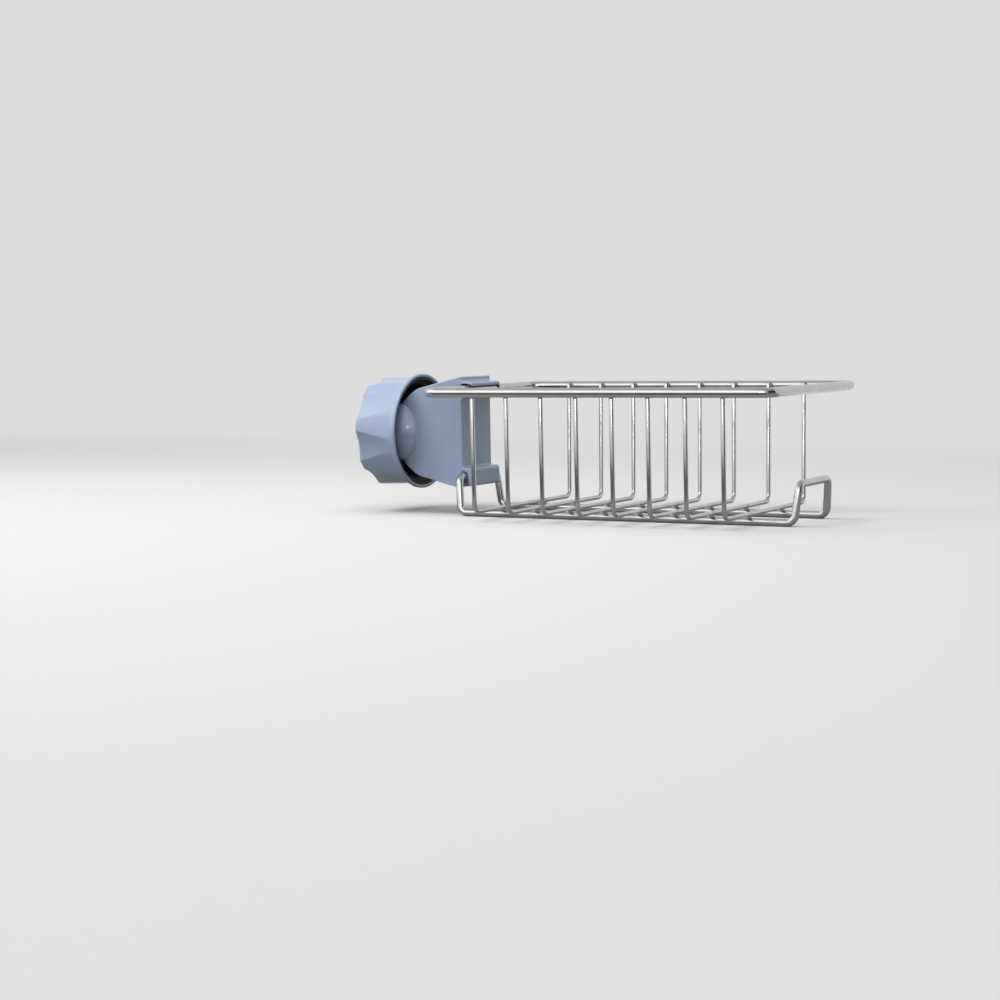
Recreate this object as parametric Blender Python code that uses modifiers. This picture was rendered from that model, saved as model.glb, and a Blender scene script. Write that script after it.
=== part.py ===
"""Wire soap holder that clamps to an upright round tube.

A welded wire basket hangs by its rim and by an upturned loop on a moulded C clamp. A faceted hand knob
drives a screw through the clamp's arm, and the screw presses a swivel foot against the tube.

Units are metres, +Z is up. The origin lies on the tube's axis at the height of the screw: the tube runs
along Z, the screw along X and the basket stretches out along +X.
"""
import math

import bmesh
import bpy
from mathutils import Vector

# Tube that the clamp holds, and the running and seating clearances
TUBE_RADIUS = 0.0125
SEAT_GAP = 0.0003
TURNING_GAP = 0.0004

# Wires of the basket
RIM_WIRE_RADIUS = 0.0024
FRAME_WIRE_RADIUS = 0.0019
RIB_WIRE_RADIUS = 0.00115

# Basket, measured between wire centres
RIM_LENGTH = 0.184
RIM_DEPTH = 0.114
RIM_CORNER_RADIUS = 0.007
RIM_HEIGHT = 0.0222
RIB_DROP = 0.0596
RIB_COUNT = 8
RIB_PITCH = 0.01915
RIB_LEAN = 0.001
RIB_CORNER_RADIUS = 0.0042
RIB_END_ABOVE_RIM = 0.0012

# Bottom frame, measured between wire centres
RAIL_SPACING = 0.044
LOOP_TOP_HEIGHT = -0.0223
LOOP_LEAN = 0.0018
LOOP_TAPER = 0.0022
LOOP_CORNER_RADIUS = 0.0042
LOOP_STANDOFF = 0.0006

# Clamp body: its front plate, its fixed jaw on the +X side and its screw arm on the -X side
PLATE_WALL = 0.0026
PLATE_INNER_GAP = 0.0004
JAW_WALL = 0.0035
ARM_WALL = 0.0037
BODY_FACE_HALF_HEIGHT = 0.0293
BODY_FACE_CORNER_RADIUS = 0.0009
BODY_FOOT_HALF_HEIGHT = 0.0289
BODY_SHOULDER_X = -0.0085
BODY_SHOULDER_HALF_HEIGHT = 0.0226
BODY_SHOULDER_RADIUS = 0.014
BODY_END_HALF_HEIGHT = 0.011
BODY_END_RADIUS = 0.007
BODY_CREASE_X = 0.0105
BODY_CREASE_BULGE = 0.0004
BODY_SWEEP_X = -0.015
BODY_SWEEP_SETBACK = 0.0009
BODY_SWEEP_RADIUS = 0.008
BODY_END_SETBACK = 0.005
BODY_BACK_SETBACK = 0.0025
BODY_EDGE_ROUND = 0.0006
THROAT_CORNER_RADIUS = 0.002
BOSS_RADIUS = 0.0115
BOSS_LENGTH = 0.002
BOSS_ROUND = 0.0015
DOME_SPHERE_RADIUS = 0.030
DOME_EDGE_RADIUS = 0.018

# Clips on the clamp body that hold the two basket wires
CLIP_WALL = 0.0014
CLIP_REACH = 0.0034
CLIP_MOUTH = 0.0038
CLIP_LIP_LENGTH = 0.0014
CLIP_LIP_ROUND = 0.0003
CLIP_CORNER_RADIUS = 0.0012
CLIP_ROOT_FLARE = 0.0006
CLIP_TIP_TAPER = 0.0004
HOOK_WALL = 0.0023
HOOK_TOP_WALL = 0.0017
HOOK_DROP = 0.0055
HOOK_TIP_ROUND = 0.0011
HOOK_CORNER_RADIUS = 0.0022
SLOT_ROUND_SHARE = 0.98

# Screw, foot and pads
SCREW_RADIUS = 0.0048
SCREW_NECK_RADIUS = 0.0024
SCREW_HEAD_RADIUS = 0.0036
SCREW_HEAD_THICKNESS = 0.0007
FOOT_RADIUS = 0.011
FOOT_THICKNESS = 0.0023
FOOT_POCKET_DEPTH = 0.0012
FOOT_EDGE_ROUND = 0.0005
PAD_THICKNESS = 0.0019
PAD_OPENING_TRAVEL = 0.003
PAD_CLOSING_TRAVEL = 0.0045
LINER_THICKNESS = 0.0029
LINER_BACK_MARGIN = 0.0025
LINER_HALF_HEIGHT = 0.021
LINER_GROOVE_RADIUS = 0.020
LINER_GROOVE_HALF_WIDTH = 0.0095

# Core that locks the screw's head into the knob, and its sleeve that lines the knob
BOLT_HEAD_RADIUS = 0.0075
BOLT_HEAD_THICKNESS = 0.003
CORE_DISC_THICKNESS = 0.0029
CORE_HUB_RADIUS = 0.0105
CORE_SLEEVE_WALL = 0.0008

# Hand knob
KNOB_LENGTH = 0.0258
KNOB_BODY_CLEARANCE = 0.0005
KNOB_CAVITY_DRAFT = 0.0007
KNOB_WALL = 0.0012
KNOB_END_WALL = 0.0024
KNOB_END_CHAMFER = 0.0012
KNOB_LOBES = 8
KNOB_FLUTE_END_ANGLE = math.radians(33.0)
KNOB_FLUTE_MOUTH_ANGLE = math.radians(16.0)
KNOB_TURN_AT_REST = math.radians(-14.25)
KNOB_POINTS_PER_FACET = 6
KNOB_FLUTE_DEPTH = 0.0012
KNOB_LOBE_CROWN = 0.0002
FLANGE_OVERHANG = 0.0018
FLANGE_WALL = 0.0017
FLANGE_THICKNESS = 0.0016
FLANGE_EDGE_ROUND = 0.0004
FLARE_LENGTH = 0.0042
FLARE_STEPS = 4

# Smoothness of curved pieces
WIRE_SIDES_RESOLUTION = 4
RIB_SIDES_RESOLUTION = 3
BEND_STEPS = 6
TURN_STEPS = 48

# Places worked out from the sizes above
BODY_HALF_DEPTH = TUBE_RADIUS + PLATE_INNER_GAP + PLATE_WALL
BODY_FACE_X = TUBE_RADIUS + SEAT_GAP + LINER_THICKNESS + SEAT_GAP + JAW_WALL
PAD_FACE_X = -TUBE_RADIUS
PAD_BACK_X = PAD_FACE_X - PAD_THICKNESS
FOOT_FRONT_X = PAD_BACK_X - SEAT_GAP
FOOT_BACK_X = FOOT_FRONT_X - FOOT_THICKNESS
ARM_INNER_X = FOOT_BACK_X - PAD_OPENING_TRAVEL - SEAT_GAP
ARM_OUTER_X = ARM_INNER_X - ARM_WALL
BOSS_END_X = ARM_OUTER_X - BOSS_LENGTH
SHOULDER_SLOPE = (BODY_SHOULDER_HALF_HEIGHT - BODY_END_HALF_HEIGHT) / (BODY_SHOULDER_X - ARM_OUTER_X)
KNOB_MOUTH_X = PAD_FACE_X - SEAT_GAP
FLARE_START_X = KNOB_MOUTH_X - FLANGE_THICKNESS - FLARE_LENGTH
DEEPEST_BODY_X = FLARE_START_X + PAD_CLOSING_TRAVEL
DEEPEST_BODY_HALF_HEIGHT = BODY_SHOULDER_HALF_HEIGHT - (BODY_SHOULDER_X - DEEPEST_BODY_X) * SHOULDER_SLOPE
SLEEVE_INNER_RADIUS = math.hypot(DEEPEST_BODY_HALF_HEIGHT, BODY_HALF_DEPTH) + KNOB_BODY_CLEARANCE
KNOB_CAVITY_RADIUS = SLEEVE_INNER_RADIUS + CORE_SLEEVE_WALL + SEAT_GAP
KNOB_CAVITY_END_RADIUS = KNOB_CAVITY_RADIUS - KNOB_CAVITY_DRAFT
KNOB_FLAT_RADIUS = KNOB_CAVITY_END_RADIUS + KNOB_WALL + KNOB_FLUTE_DEPTH
KNOB_CORNER_RADIUS = KNOB_FLAT_RADIUS / math.cos(KNOB_FLUTE_END_ANGLE / 2)
FLANGE_RADIUS = KNOB_CORNER_RADIUS + FLANGE_OVERHANG
KNOB_END_X = KNOB_MOUTH_X - KNOB_LENGTH
KNOB_CAVITY_END_X = KNOB_END_X + KNOB_END_WALL
CORE_BACK_X = KNOB_CAVITY_END_X + SEAT_GAP
CORE_FRONT_X = CORE_BACK_X + CORE_DISC_THICKNESS
HUB_FRONT_X = BOSS_END_X - PAD_CLOSING_TRAVEL - SEAT_GAP
SCREW_SHOULDER_X = FOOT_BACK_X - SEAT_GAP
SCREW_HEAD_BACK_X = FOOT_FRONT_X - FOOT_POCKET_DEPTH + SEAT_GAP
JAW_INNER_X = BODY_FACE_X - JAW_WALL
LINER_BACK_X = JAW_INNER_X - SEAT_GAP
PLATE_INNER_Y = -(TUBE_RADIUS + PLATE_INNER_GAP)
RIM_LEFT_X = BODY_FACE_X + RIM_WIRE_RADIUS + SEAT_GAP
RIM_CENTRE_X = RIM_LEFT_X + RIM_LENGTH / 2
RIB_FLOOR_Z = RIM_HEIGHT - RIB_DROP
RAIL_Z = RIB_FLOOR_Z - RIB_WIRE_RADIUS - SEAT_GAP - FRAME_WIRE_RADIUS
LEFT_LOOP_X = BODY_FACE_X + LOOP_STANDOFF
RIGHT_LOOP_X = RIM_LEFT_X + RIM_LENGTH


def clear_objects():
    """Empty the file of objects, whatever it held."""
    for obj in list(bpy.data.objects):
        bpy.data.objects.remove(obj, do_unlink=True)


def new_collection(name):
    collection = bpy.data.collections.new(name)
    bpy.context.scene.collection.children.link(collection)
    return collection


def plain_material(name, colour, roughness, metallic):
    """A Principled material of one colour."""
    material = bpy.data.materials.new(name)
    material.use_nodes = True
    shader = material.node_tree.nodes["Principled BSDF"]
    shader.inputs["Base Color"].default_value = (*colour, 1.0)
    shader.inputs["Roughness"].default_value = roughness
    shader.inputs["Metallic"].default_value = metallic
    material.diffuse_color = (*colour, 1.0)
    return material


def place(obj, collection, material=None):
    collection.objects.link(obj)
    if material is not None:
        obj.data.materials.append(material)
    return obj


def make_cutter(obj, collection):
    """Keep a helper solid out of renders and draw it as wire."""
    collection.objects.link(obj)
    obj.hide_render = True
    obj.display_type = "WIRE"
    return obj


def boolean(target, cutter, operation):
    modifier = target.modifiers.new(operation.lower() + "_" + cutter.name, "BOOLEAN")
    modifier.operation = operation
    modifier.solver = "EXACT"
    modifier.object = cutter
    return modifier


def smooth(obj, angle=math.radians(35.0)):
    obj.data.shade_smooth()
    obj.data.set_sharp_from_angle(angle=angle)


def rounded_path(corners, radii, closed, steps=BEND_STEPS):
    """Replace each corner of a polyline by an arc of its own radius, tangent to both sides."""
    corners = [Vector(corner) for corner in corners]
    count = len(corners)
    path = []
    for index, corner in enumerate(corners):
        if not closed and index in (0, count - 1):
            path.append(corner)
            continue
        to_last = (corners[index - 1] - corner).normalized()
        to_next = (corners[(index + 1) % count] - corner).normalized()
        radius = radii[index]
        turn = math.pi - to_last.angle(to_next)
        if radius <= 0.0 or turn < 1e-6:
            path.append(corner)
            continue
        setback = radius * math.tan(turn / 2)
        bisector = (to_last + to_next).normalized()
        centre = corner + bisector * (radius / math.cos(turn / 2))
        first = corner + to_last * setback - centre
        last = corner + to_next * setback - centre
        for step in range(steps + 1):
            part = step / steps
            spoke = (first * math.sin((1 - part) * turn) + last * math.sin(part * turn)) / math.sin(turn)
            path.append(centre + spoke)
    return path


def mesh_from_curve(name, curve):
    """Turn a curve into a closed mesh object, with its end caps welded on."""
    holder = bpy.data.objects.new(name + "_curve", curve)
    bpy.context.scene.collection.objects.link(holder)
    bpy.context.view_layer.update()
    evaluated = holder.evaluated_get(bpy.context.evaluated_depsgraph_get())
    mesh = bpy.data.meshes.new_from_object(evaluated)
    mesh.name = name
    shape = bmesh.new()
    shape.from_mesh(mesh)
    bmesh.ops.remove_doubles(shape, verts=shape.verts, dist=1e-6)
    bmesh.ops.recalc_face_normals(shape, faces=shape.faces)
    shape.to_mesh(mesh)
    shape.free()
    bpy.data.objects.remove(holder, do_unlink=True)
    bpy.data.curves.remove(curve)
    return bpy.data.objects.new(name, mesh)


def wire(name, path, radius, closed, resolution):
    """A round wire along a path of points."""
    curve = bpy.data.curves.new(name, "CURVE")
    curve.dimensions = "3D"
    curve.bevel_depth = radius
    curve.bevel_resolution = resolution
    curve.use_fill_caps = not closed
    spline = curve.splines.new("POLY")
    spline.points.add(len(path) - 1)
    for point, position in zip(spline.points, path):
        point.co = (*position, 1.0)
    spline.use_cyclic_u = closed
    obj = mesh_from_curve(name, curve)
    smooth(obj)
    return obj


def slab(name, outline, low, high, plane):
    """A flat outline made into a slab. plane is XZ, with thickness along Y, or XY, with thickness along Z."""
    curve = bpy.data.curves.new(name, "CURVE")
    curve.dimensions = "2D"
    curve.fill_mode = "BOTH"
    curve.extrude = (high - low) / 2
    spline = curve.splines.new("POLY")
    spline.points.add(len(outline) - 1)
    for point, position in zip(spline.points, outline):
        point.co = (position[0], position[1], 0.0, 1.0)
    spline.use_cyclic_u = True
    obj = mesh_from_curve(name, curve)
    shape = bmesh.new()
    shape.from_mesh(obj.data)
    bmesh.ops.dissolve_limit(shape, angle_limit=math.radians(0.5), verts=shape.verts, edges=shape.edges)
    shape.to_mesh(obj.data)
    shape.free()
    middle = (low + high) / 2
    for vertex in obj.data.vertices:
        across, up, through = vertex.co
        if plane == "XZ":
            vertex.co = (across, middle - through, up)
        else:
            vertex.co = (across, up, middle + through)
    return obj


def turn_profile(obj):
    """Turn an object's profile once round its own Z axis."""
    screw = obj.modifiers.new("turn", "SCREW")
    screw.axis = "Z"
    screw.steps = TURN_STEPS
    screw.render_steps = TURN_STEPS
    screw.use_merge_vertices = True
    screw.merge_threshold = 1e-6
    screw.use_smooth_shade = True


def turned(name, profile, closed):
    """A solid turned about the X axis, from (x, radius) points that run from +X to -X on the outer side."""
    mesh = bpy.data.meshes.new(name)
    vertices = [(radius, 0.0, along) for along, radius in profile]
    edges = [(index, index + 1) for index in range(len(profile) - 1)]
    if closed:
        edges.append((len(profile) - 1, 0))
    mesh.from_pydata(vertices, edges, [])
    obj = bpy.data.objects.new(name, mesh)
    obj.rotation_euler = (0.0, math.pi / 2, 0.0)
    turn_profile(obj)
    return obj


def basket_wires(collection, materials):
    """The rim, the cross ribs and the bottom frame, each one bent wire."""
    steel = materials["steel"]
    half_length = RIM_LENGTH / 2
    half_depth = RIM_DEPTH / 2
    rim_corners = [
        (RIM_CENTRE_X - half_length, -half_depth, RIM_HEIGHT),
        (RIM_CENTRE_X + half_length, -half_depth, RIM_HEIGHT),
        (RIM_CENTRE_X + half_length, half_depth, RIM_HEIGHT),
        (RIM_CENTRE_X - half_length, half_depth, RIM_HEIGHT),
    ]
    rim_path = rounded_path(rim_corners, [RIM_CORNER_RADIUS] * 4, closed=True)
    place(wire("top_rim_wire", rim_path, RIM_WIRE_RADIUS, True, WIRE_SIDES_RESOLUTION), collection, steel)

    rib_top_y = half_depth - RIM_WIRE_RADIUS - SEAT_GAP - RIB_WIRE_RADIUS
    rib_floor_y = rib_top_y - RIB_LEAN
    rib_top_z = RIM_HEIGHT + RIB_END_ABOVE_RIM
    for index in range(RIB_COUNT):
        rib_x = RIM_CENTRE_X + (index - (RIB_COUNT - 1) / 2) * RIB_PITCH
        corners = [
            (rib_x, -rib_top_y, rib_top_z),
            (rib_x, -rib_floor_y, RIB_FLOOR_Z),
            (rib_x, rib_floor_y, RIB_FLOOR_Z),
            (rib_x, rib_top_y, rib_top_z),
        ]
        path = rounded_path(corners, [0.0, RIB_CORNER_RADIUS, RIB_CORNER_RADIUS, 0.0], closed=False)
        name = f"cross_rib_{index + 1}"
        place(wire(name, path, RIB_WIRE_RADIUS, False, RIB_SIDES_RESOLUTION), collection, steel)

    rail_y = RAIL_SPACING / 2
    top_y = rail_y - LOOP_TAPER
    left_bottom_x = LEFT_LOOP_X + LOOP_LEAN
    right_bottom_x = RIGHT_LOOP_X - LOOP_LEAN
    frame_corners = [
        (left_bottom_x, -rail_y, RAIL_Z),
        (right_bottom_x, -rail_y, RAIL_Z),
        (RIGHT_LOOP_X, -top_y, LOOP_TOP_HEIGHT),
        (RIGHT_LOOP_X, top_y, LOOP_TOP_HEIGHT),
        (right_bottom_x, rail_y, RAIL_Z),
        (left_bottom_x, rail_y, RAIL_Z),
        (LEFT_LOOP_X, top_y, LOOP_TOP_HEIGHT),
        (LEFT_LOOP_X, -top_y, LOOP_TOP_HEIGHT),
    ]
    frame_path = rounded_path(frame_corners, [LOOP_CORNER_RADIUS] * 8, closed=True)
    frame = wire("bottom_frame_wire", frame_path, FRAME_WIRE_RADIUS, True, WIRE_SIDES_RESOLUTION)
    place(frame, collection, steel)


def body_front_outline():
    """The clamp seen from the front, with the rim clip and the loop hook on its +X side."""
    clip_bore = RIM_WIRE_RADIUS + SEAT_GAP
    clip_outer = clip_bore + CLIP_WALL
    clip_tip_x = RIM_LEFT_X + CLIP_REACH
    mouth = CLIP_MOUTH / 2
    lip_x = clip_tip_x - CLIP_LIP_LENGTH
    bend_x = RIM_LEFT_X + clip_bore / 2
    clip_root = clip_outer + CLIP_ROOT_FLARE
    clip_tip = clip_outer - CLIP_TIP_TAPER
    soft = CLIP_CORNER_RADIUS
    hook_bore = FRAME_WIRE_RADIUS + SEAT_GAP
    slot_left = LEFT_LOOP_X - hook_bore
    slot_right = LEFT_LOOP_X + hook_bore
    slot_top = LOOP_TOP_HEIGHT + hook_bore
    hook_right = slot_right + HOOK_WALL
    hook_top = slot_top + HOOK_TOP_WALL
    hook_foot = LOOP_TOP_HEIGHT - HOOK_DROP
    slot_round = hook_bore * SLOT_ROUND_SHARE
    corners = [
        ((BODY_FACE_X, BODY_FACE_HALF_HEIGHT), BODY_FACE_CORNER_RADIUS),
        ((BODY_SHOULDER_X, BODY_SHOULDER_HALF_HEIGHT), BODY_SHOULDER_RADIUS),
        ((ARM_OUTER_X, BODY_END_HALF_HEIGHT), BODY_END_RADIUS),
        ((ARM_OUTER_X, -BODY_END_HALF_HEIGHT), BODY_END_RADIUS),
        ((BODY_SHOULDER_X, -BODY_SHOULDER_HALF_HEIGHT), BODY_SHOULDER_RADIUS),
        ((slot_left, -BODY_FOOT_HALF_HEIGHT), soft),
        ((slot_left, slot_top), slot_round),
        ((slot_right, slot_top), slot_round),
        ((slot_right, hook_foot), HOOK_TIP_ROUND),
        ((hook_right, hook_foot), HOOK_TIP_ROUND),
        ((hook_right, hook_top), HOOK_CORNER_RADIUS),
        ((BODY_FACE_X, hook_top + SEAT_GAP), soft),
        ((BODY_FACE_X, RIM_HEIGHT - clip_root), soft),
        ((clip_tip_x, RIM_HEIGHT - clip_tip), soft),
        ((clip_tip_x, RIM_HEIGHT - mouth), CLIP_LIP_ROUND),
        ((lip_x, RIM_HEIGHT - mouth), CLIP_LIP_ROUND),
        ((bend_x, RIM_HEIGHT - clip_bore), soft),
        ((BODY_FACE_X, RIM_HEIGHT - clip_bore), soft),
        ((BODY_FACE_X, RIM_HEIGHT + clip_bore), soft),
        ((bend_x, RIM_HEIGHT + clip_bore), soft),
        ((lip_x, RIM_HEIGHT + mouth), CLIP_LIP_ROUND),
        ((clip_tip_x, RIM_HEIGHT + mouth), CLIP_LIP_ROUND),
        ((clip_tip_x, RIM_HEIGHT + clip_tip), soft),
        ((BODY_FACE_X, RIM_HEIGHT + clip_root), soft),
    ]
    points = [(x, z, 0.0) for (x, z), _radius in corners]
    return rounded_path(points, [radius for _corner, radius in corners], closed=True)


def body_plan_outline():
    """The clamp seen from above: a creased front, a swept back end round the screw arm, straight clip ends."""
    front = -BODY_HALF_DEPTH
    outer_x = RIM_LEFT_X + CLIP_REACH + BODY_EDGE_ROUND
    outer_y = front + BODY_CREASE_BULGE * (outer_x - BODY_FACE_X) / (BODY_FACE_X - BODY_CREASE_X)
    corners = [
        ((outer_x, outer_y), 0.0),
        ((outer_x, -outer_y), 0.0),
        ((JAW_INNER_X, -front), 0.0),
        ((ARM_INNER_X, -front - BODY_BACK_SETBACK), 0.0),
        ((ARM_OUTER_X, -front - BODY_END_SETBACK), 0.0),
        ((ARM_OUTER_X, front + BODY_END_SETBACK), 0.0),
        ((BODY_SWEEP_X, front + BODY_SWEEP_SETBACK), BODY_SWEEP_RADIUS),
        ((BODY_CREASE_X, front - BODY_CREASE_BULGE), 0.0),
    ]
    points = [(x, y, 0.0) for (x, y), _radius in corners]
    return rounded_path(points, [radius for _corner, radius in corners], closed=True)


def throat_outline():
    """The open space for the tube, from the front plate out past the open back."""
    far = BODY_HALF_DEPTH * 2
    corners = [
        (ARM_INNER_X, PLATE_INNER_Y, 0.0),
        (JAW_INNER_X, PLATE_INNER_Y, 0.0),
        (JAW_INNER_X, far, 0.0),
        (ARM_INNER_X, far, 0.0),
    ]
    return rounded_path(corners, [THROAT_CORNER_RADIUS, THROAT_CORNER_RADIUS, 0.0, 0.0], closed=True)


def screw_dome(cutters):
    """The round swelling over the screw on the front plate, trimmed to lie inside the arm's outline."""
    centre_y = -BODY_HALF_DEPTH + math.sqrt(DOME_SPHERE_RADIUS ** 2 - DOME_EDGE_RADIUS ** 2)
    centre_x = BODY_SHOULDER_X + SEAT_GAP - DOME_EDGE_RADIUS
    root_y = PLATE_INNER_Y / 2
    profile = []
    for step in range(13):
        angle = math.asin(DOME_EDGE_RADIUS / DOME_SPHERE_RADIUS) * step / 12
        profile.append((DOME_SPHERE_RADIUS * math.sin(angle), 0.0, DOME_SPHERE_RADIUS * math.cos(angle)))
    profile.append((DOME_EDGE_RADIUS, 0.0, centre_y - root_y))
    profile.append((0.0, 0.0, centre_y - root_y))
    mesh = bpy.data.meshes.new("screw_dome_shape")
    edges = [(index, index + 1) for index in range(len(profile) - 1)]
    mesh.from_pydata(profile, edges, [])
    dome = make_cutter(bpy.data.objects.new("screw_dome_shape", mesh), cutters)
    dome.location = (centre_x, centre_y, 0.0)
    dome.rotation_euler = (math.pi / 2, 0.0, 0.0)
    turn_profile(dome)
    inset = BODY_EDGE_ROUND
    arm_corners = [
        (0.0, BODY_SHOULDER_HALF_HEIGHT - inset, 0.0),
        (BODY_SHOULDER_X, BODY_SHOULDER_HALF_HEIGHT - inset, 0.0),
        (ARM_OUTER_X + inset, BODY_END_HALF_HEIGHT - inset, 0.0),
        (ARM_OUTER_X + inset, inset - BODY_END_HALF_HEIGHT, 0.0),
        (BODY_SHOULDER_X, inset - BODY_SHOULDER_HALF_HEIGHT, 0.0),
        (0.0, inset - BODY_SHOULDER_HALF_HEIGHT, 0.0),
    ]
    bends = [0.0, BODY_SHOULDER_RADIUS, BODY_END_RADIUS, BODY_END_RADIUS, BODY_SHOULDER_RADIUS, 0.0]
    trim_outline = rounded_path(arm_corners, bends, closed=True)
    trim = slab("dome_trim_shape", trim_outline, -BODY_HALF_DEPTH * 2, 0.0, "XZ")
    boolean(dome, make_cutter(trim, cutters), "INTERSECT")
    return dome


def clamp(collection, cutters, materials):
    """The moulded C clamp and the rubber liner on its fixed jaw."""
    reach = BODY_FACE_HALF_HEIGHT * 1.5
    body = slab("clamp_body", body_front_outline(), -BODY_HALF_DEPTH * 1.2, BODY_HALF_DEPTH * 1.2, "XZ")
    place(body, collection, materials["plastic"])
    plan = make_cutter(slab("plan_shape", body_plan_outline(), -reach, reach, "XY"), cutters)
    boolean(body, plan, "INTERSECT")
    rounding = body.modifiers.new("edge_round", "BEVEL")
    rounding.width = BODY_EDGE_ROUND
    rounding.segments = 2
    rounding.limit_method = "ANGLE"
    rounding.angle_limit = math.radians(50.0)
    rounding.use_clamp_overlap = False
    boolean(body, screw_dome(cutters), "UNION")
    boss_start = ARM_INNER_X + ARM_WALL
    boss_profile = [
        (boss_start, 0.0),
        (boss_start, BOSS_RADIUS),
        (BOSS_END_X + BOSS_ROUND, BOSS_RADIUS),
        (BOSS_END_X + BOSS_ROUND * 0.3, BOSS_RADIUS - BOSS_ROUND * 0.3),
        (BOSS_END_X, BOSS_RADIUS - BOSS_ROUND),
        (BOSS_END_X, 0.0),
    ]
    boss = make_cutter(turned("boss_shape", boss_profile, closed=False), cutters)
    boolean(body, boss, "UNION")
    throat = make_cutter(slab("throat_shape", throat_outline(), -reach, reach, "XY"), cutters)
    boolean(body, throat, "DIFFERENCE")
    hole_radius = SCREW_RADIUS + TURNING_GAP
    hole_profile = [
        (ARM_INNER_X + ARM_WALL, 0.0),
        (ARM_INNER_X + ARM_WALL, hole_radius),
        (BOSS_END_X - ARM_WALL, hole_radius),
        (BOSS_END_X - ARM_WALL, 0.0),
    ]
    hole = make_cutter(turned("screw_hole_shape", hole_profile, closed=False), cutters)
    boolean(body, hole, "DIFFERENCE")
    smooth(body)

    groove_x = TUBE_RADIUS + SEAT_GAP
    low_y = PLATE_INNER_Y + THROAT_CORNER_RADIUS
    high_y = BODY_HALF_DEPTH - LINER_BACK_MARGIN
    half_angle = math.asin(LINER_GROOVE_HALF_WIDTH / LINER_GROOVE_RADIUS)
    groove = []
    for step in range(9):
        angle = half_angle * (1 - step / 4)
        x = groove_x - LINER_GROOVE_RADIUS * (1 - math.cos(angle))
        groove.append((x, LINER_GROOVE_RADIUS * math.sin(angle)))
    lip_x = groove[0][0]
    outline = [(LINER_BACK_X, low_y), (LINER_BACK_X, high_y), (lip_x, high_y), *groove, (lip_x, low_y)]
    liner = slab("jaw_liner", outline, -LINER_HALF_HEIGHT, LINER_HALF_HEIGHT, "XY")
    smooth(liner)
    place(liner, collection, materials["rubber"])


def screw_parts(collection, materials):
    """The screw, the swivel foot it carries and the foot's rubber pad."""
    edge = FOOT_EDGE_ROUND
    bolt_back = CORE_BACK_X
    bolt_front = bolt_back + BOLT_HEAD_THICKNESS
    neck_start = SCREW_SHOULDER_X
    head_front = SCREW_HEAD_BACK_X + SCREW_HEAD_THICKNESS
    screw = turned("clamp_screw", [
        (head_front, 0.0),
        (head_front, SCREW_HEAD_RADIUS),
        (SCREW_HEAD_BACK_X, SCREW_HEAD_RADIUS),
        (SCREW_HEAD_BACK_X, SCREW_NECK_RADIUS),
        (neck_start, SCREW_NECK_RADIUS),
        (neck_start, SCREW_RADIUS - edge),
        (neck_start - edge, SCREW_RADIUS),
        (bolt_front, SCREW_RADIUS),
        (bolt_front, BOLT_HEAD_RADIUS),
        (bolt_back, BOLT_HEAD_RADIUS),
        (bolt_back, 0.0),
    ], closed=False)
    place(screw, collection, materials["zinc"])

    pocket_floor = FOOT_FRONT_X - FOOT_POCKET_DEPTH
    pocket_radius = SCREW_HEAD_RADIUS + TURNING_GAP
    neck_hole = SCREW_NECK_RADIUS + SEAT_GAP
    foot = turned("swivel_foot", [
        (FOOT_FRONT_X, pocket_radius),
        (FOOT_FRONT_X, FOOT_RADIUS - edge),
        (FOOT_FRONT_X - edge, FOOT_RADIUS),
        (FOOT_BACK_X + edge * 2, FOOT_RADIUS),
        (FOOT_BACK_X, FOOT_RADIUS - edge * 2),
        (FOOT_BACK_X, neck_hole),
        (pocket_floor, neck_hole),
        (pocket_floor, pocket_radius),
    ], closed=True)
    place(foot, collection, materials["core"])

    pad = turned("foot_pad", [
        (PAD_FACE_X, 0.0),
        (PAD_FACE_X, FOOT_RADIUS - edge * 2),
        (PAD_FACE_X - edge, FOOT_RADIUS - edge),
        (PAD_BACK_X, FOOT_RADIUS - edge),
        (PAD_BACK_X, 0.0),
    ], closed=False)
    place(pad, collection, materials["rubber"])
    return screw, foot, pad


def facet_section(x, flute_angle, scale, relief_share, circle_share, circle_radius):
    """A ring of points round the knob, between its sixteen-sided outline and a circle.

    Angles start at the front and rise towards the top. Eight flutes that dip inwards alternate with eight
    lobes that swell outwards, flute_angle is the angle that a flute takes up, and relief_share says how
    deep the flutes are here.
    """
    lobe = 2 * math.pi / KNOB_LOBES
    corners = []
    for index in range(KNOB_LOBES):
        centre = KNOB_TURN_AT_REST + index * lobe
        corners.append(centre - flute_angle / 2)
        corners.append(centre + flute_angle / 2)
    radius = KNOB_CORNER_RADIUS * scale
    ring = []
    for index, angle in enumerate(corners):
        following = corners[(index + 1) % len(corners)]
        start = Vector((-math.cos(angle), math.sin(angle))) * radius
        end = Vector((-math.cos(following), math.sin(following))) * radius
        relief = -KNOB_FLUTE_DEPTH * relief_share if index % 2 == 0 else KNOB_LOBE_CROWN
        for step in range(KNOB_POINTS_PER_FACET):
            part = step / KNOB_POINTS_PER_FACET
            flat = start.lerp(end, part)
            outwards = flat.normalized()
            curved = flat + outwards * relief * 4 * part * (1 - part)
            point = curved.lerp(outwards * circle_radius, circle_share)
            ring.append((x, point.x, point.y))
    return ring


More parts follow.
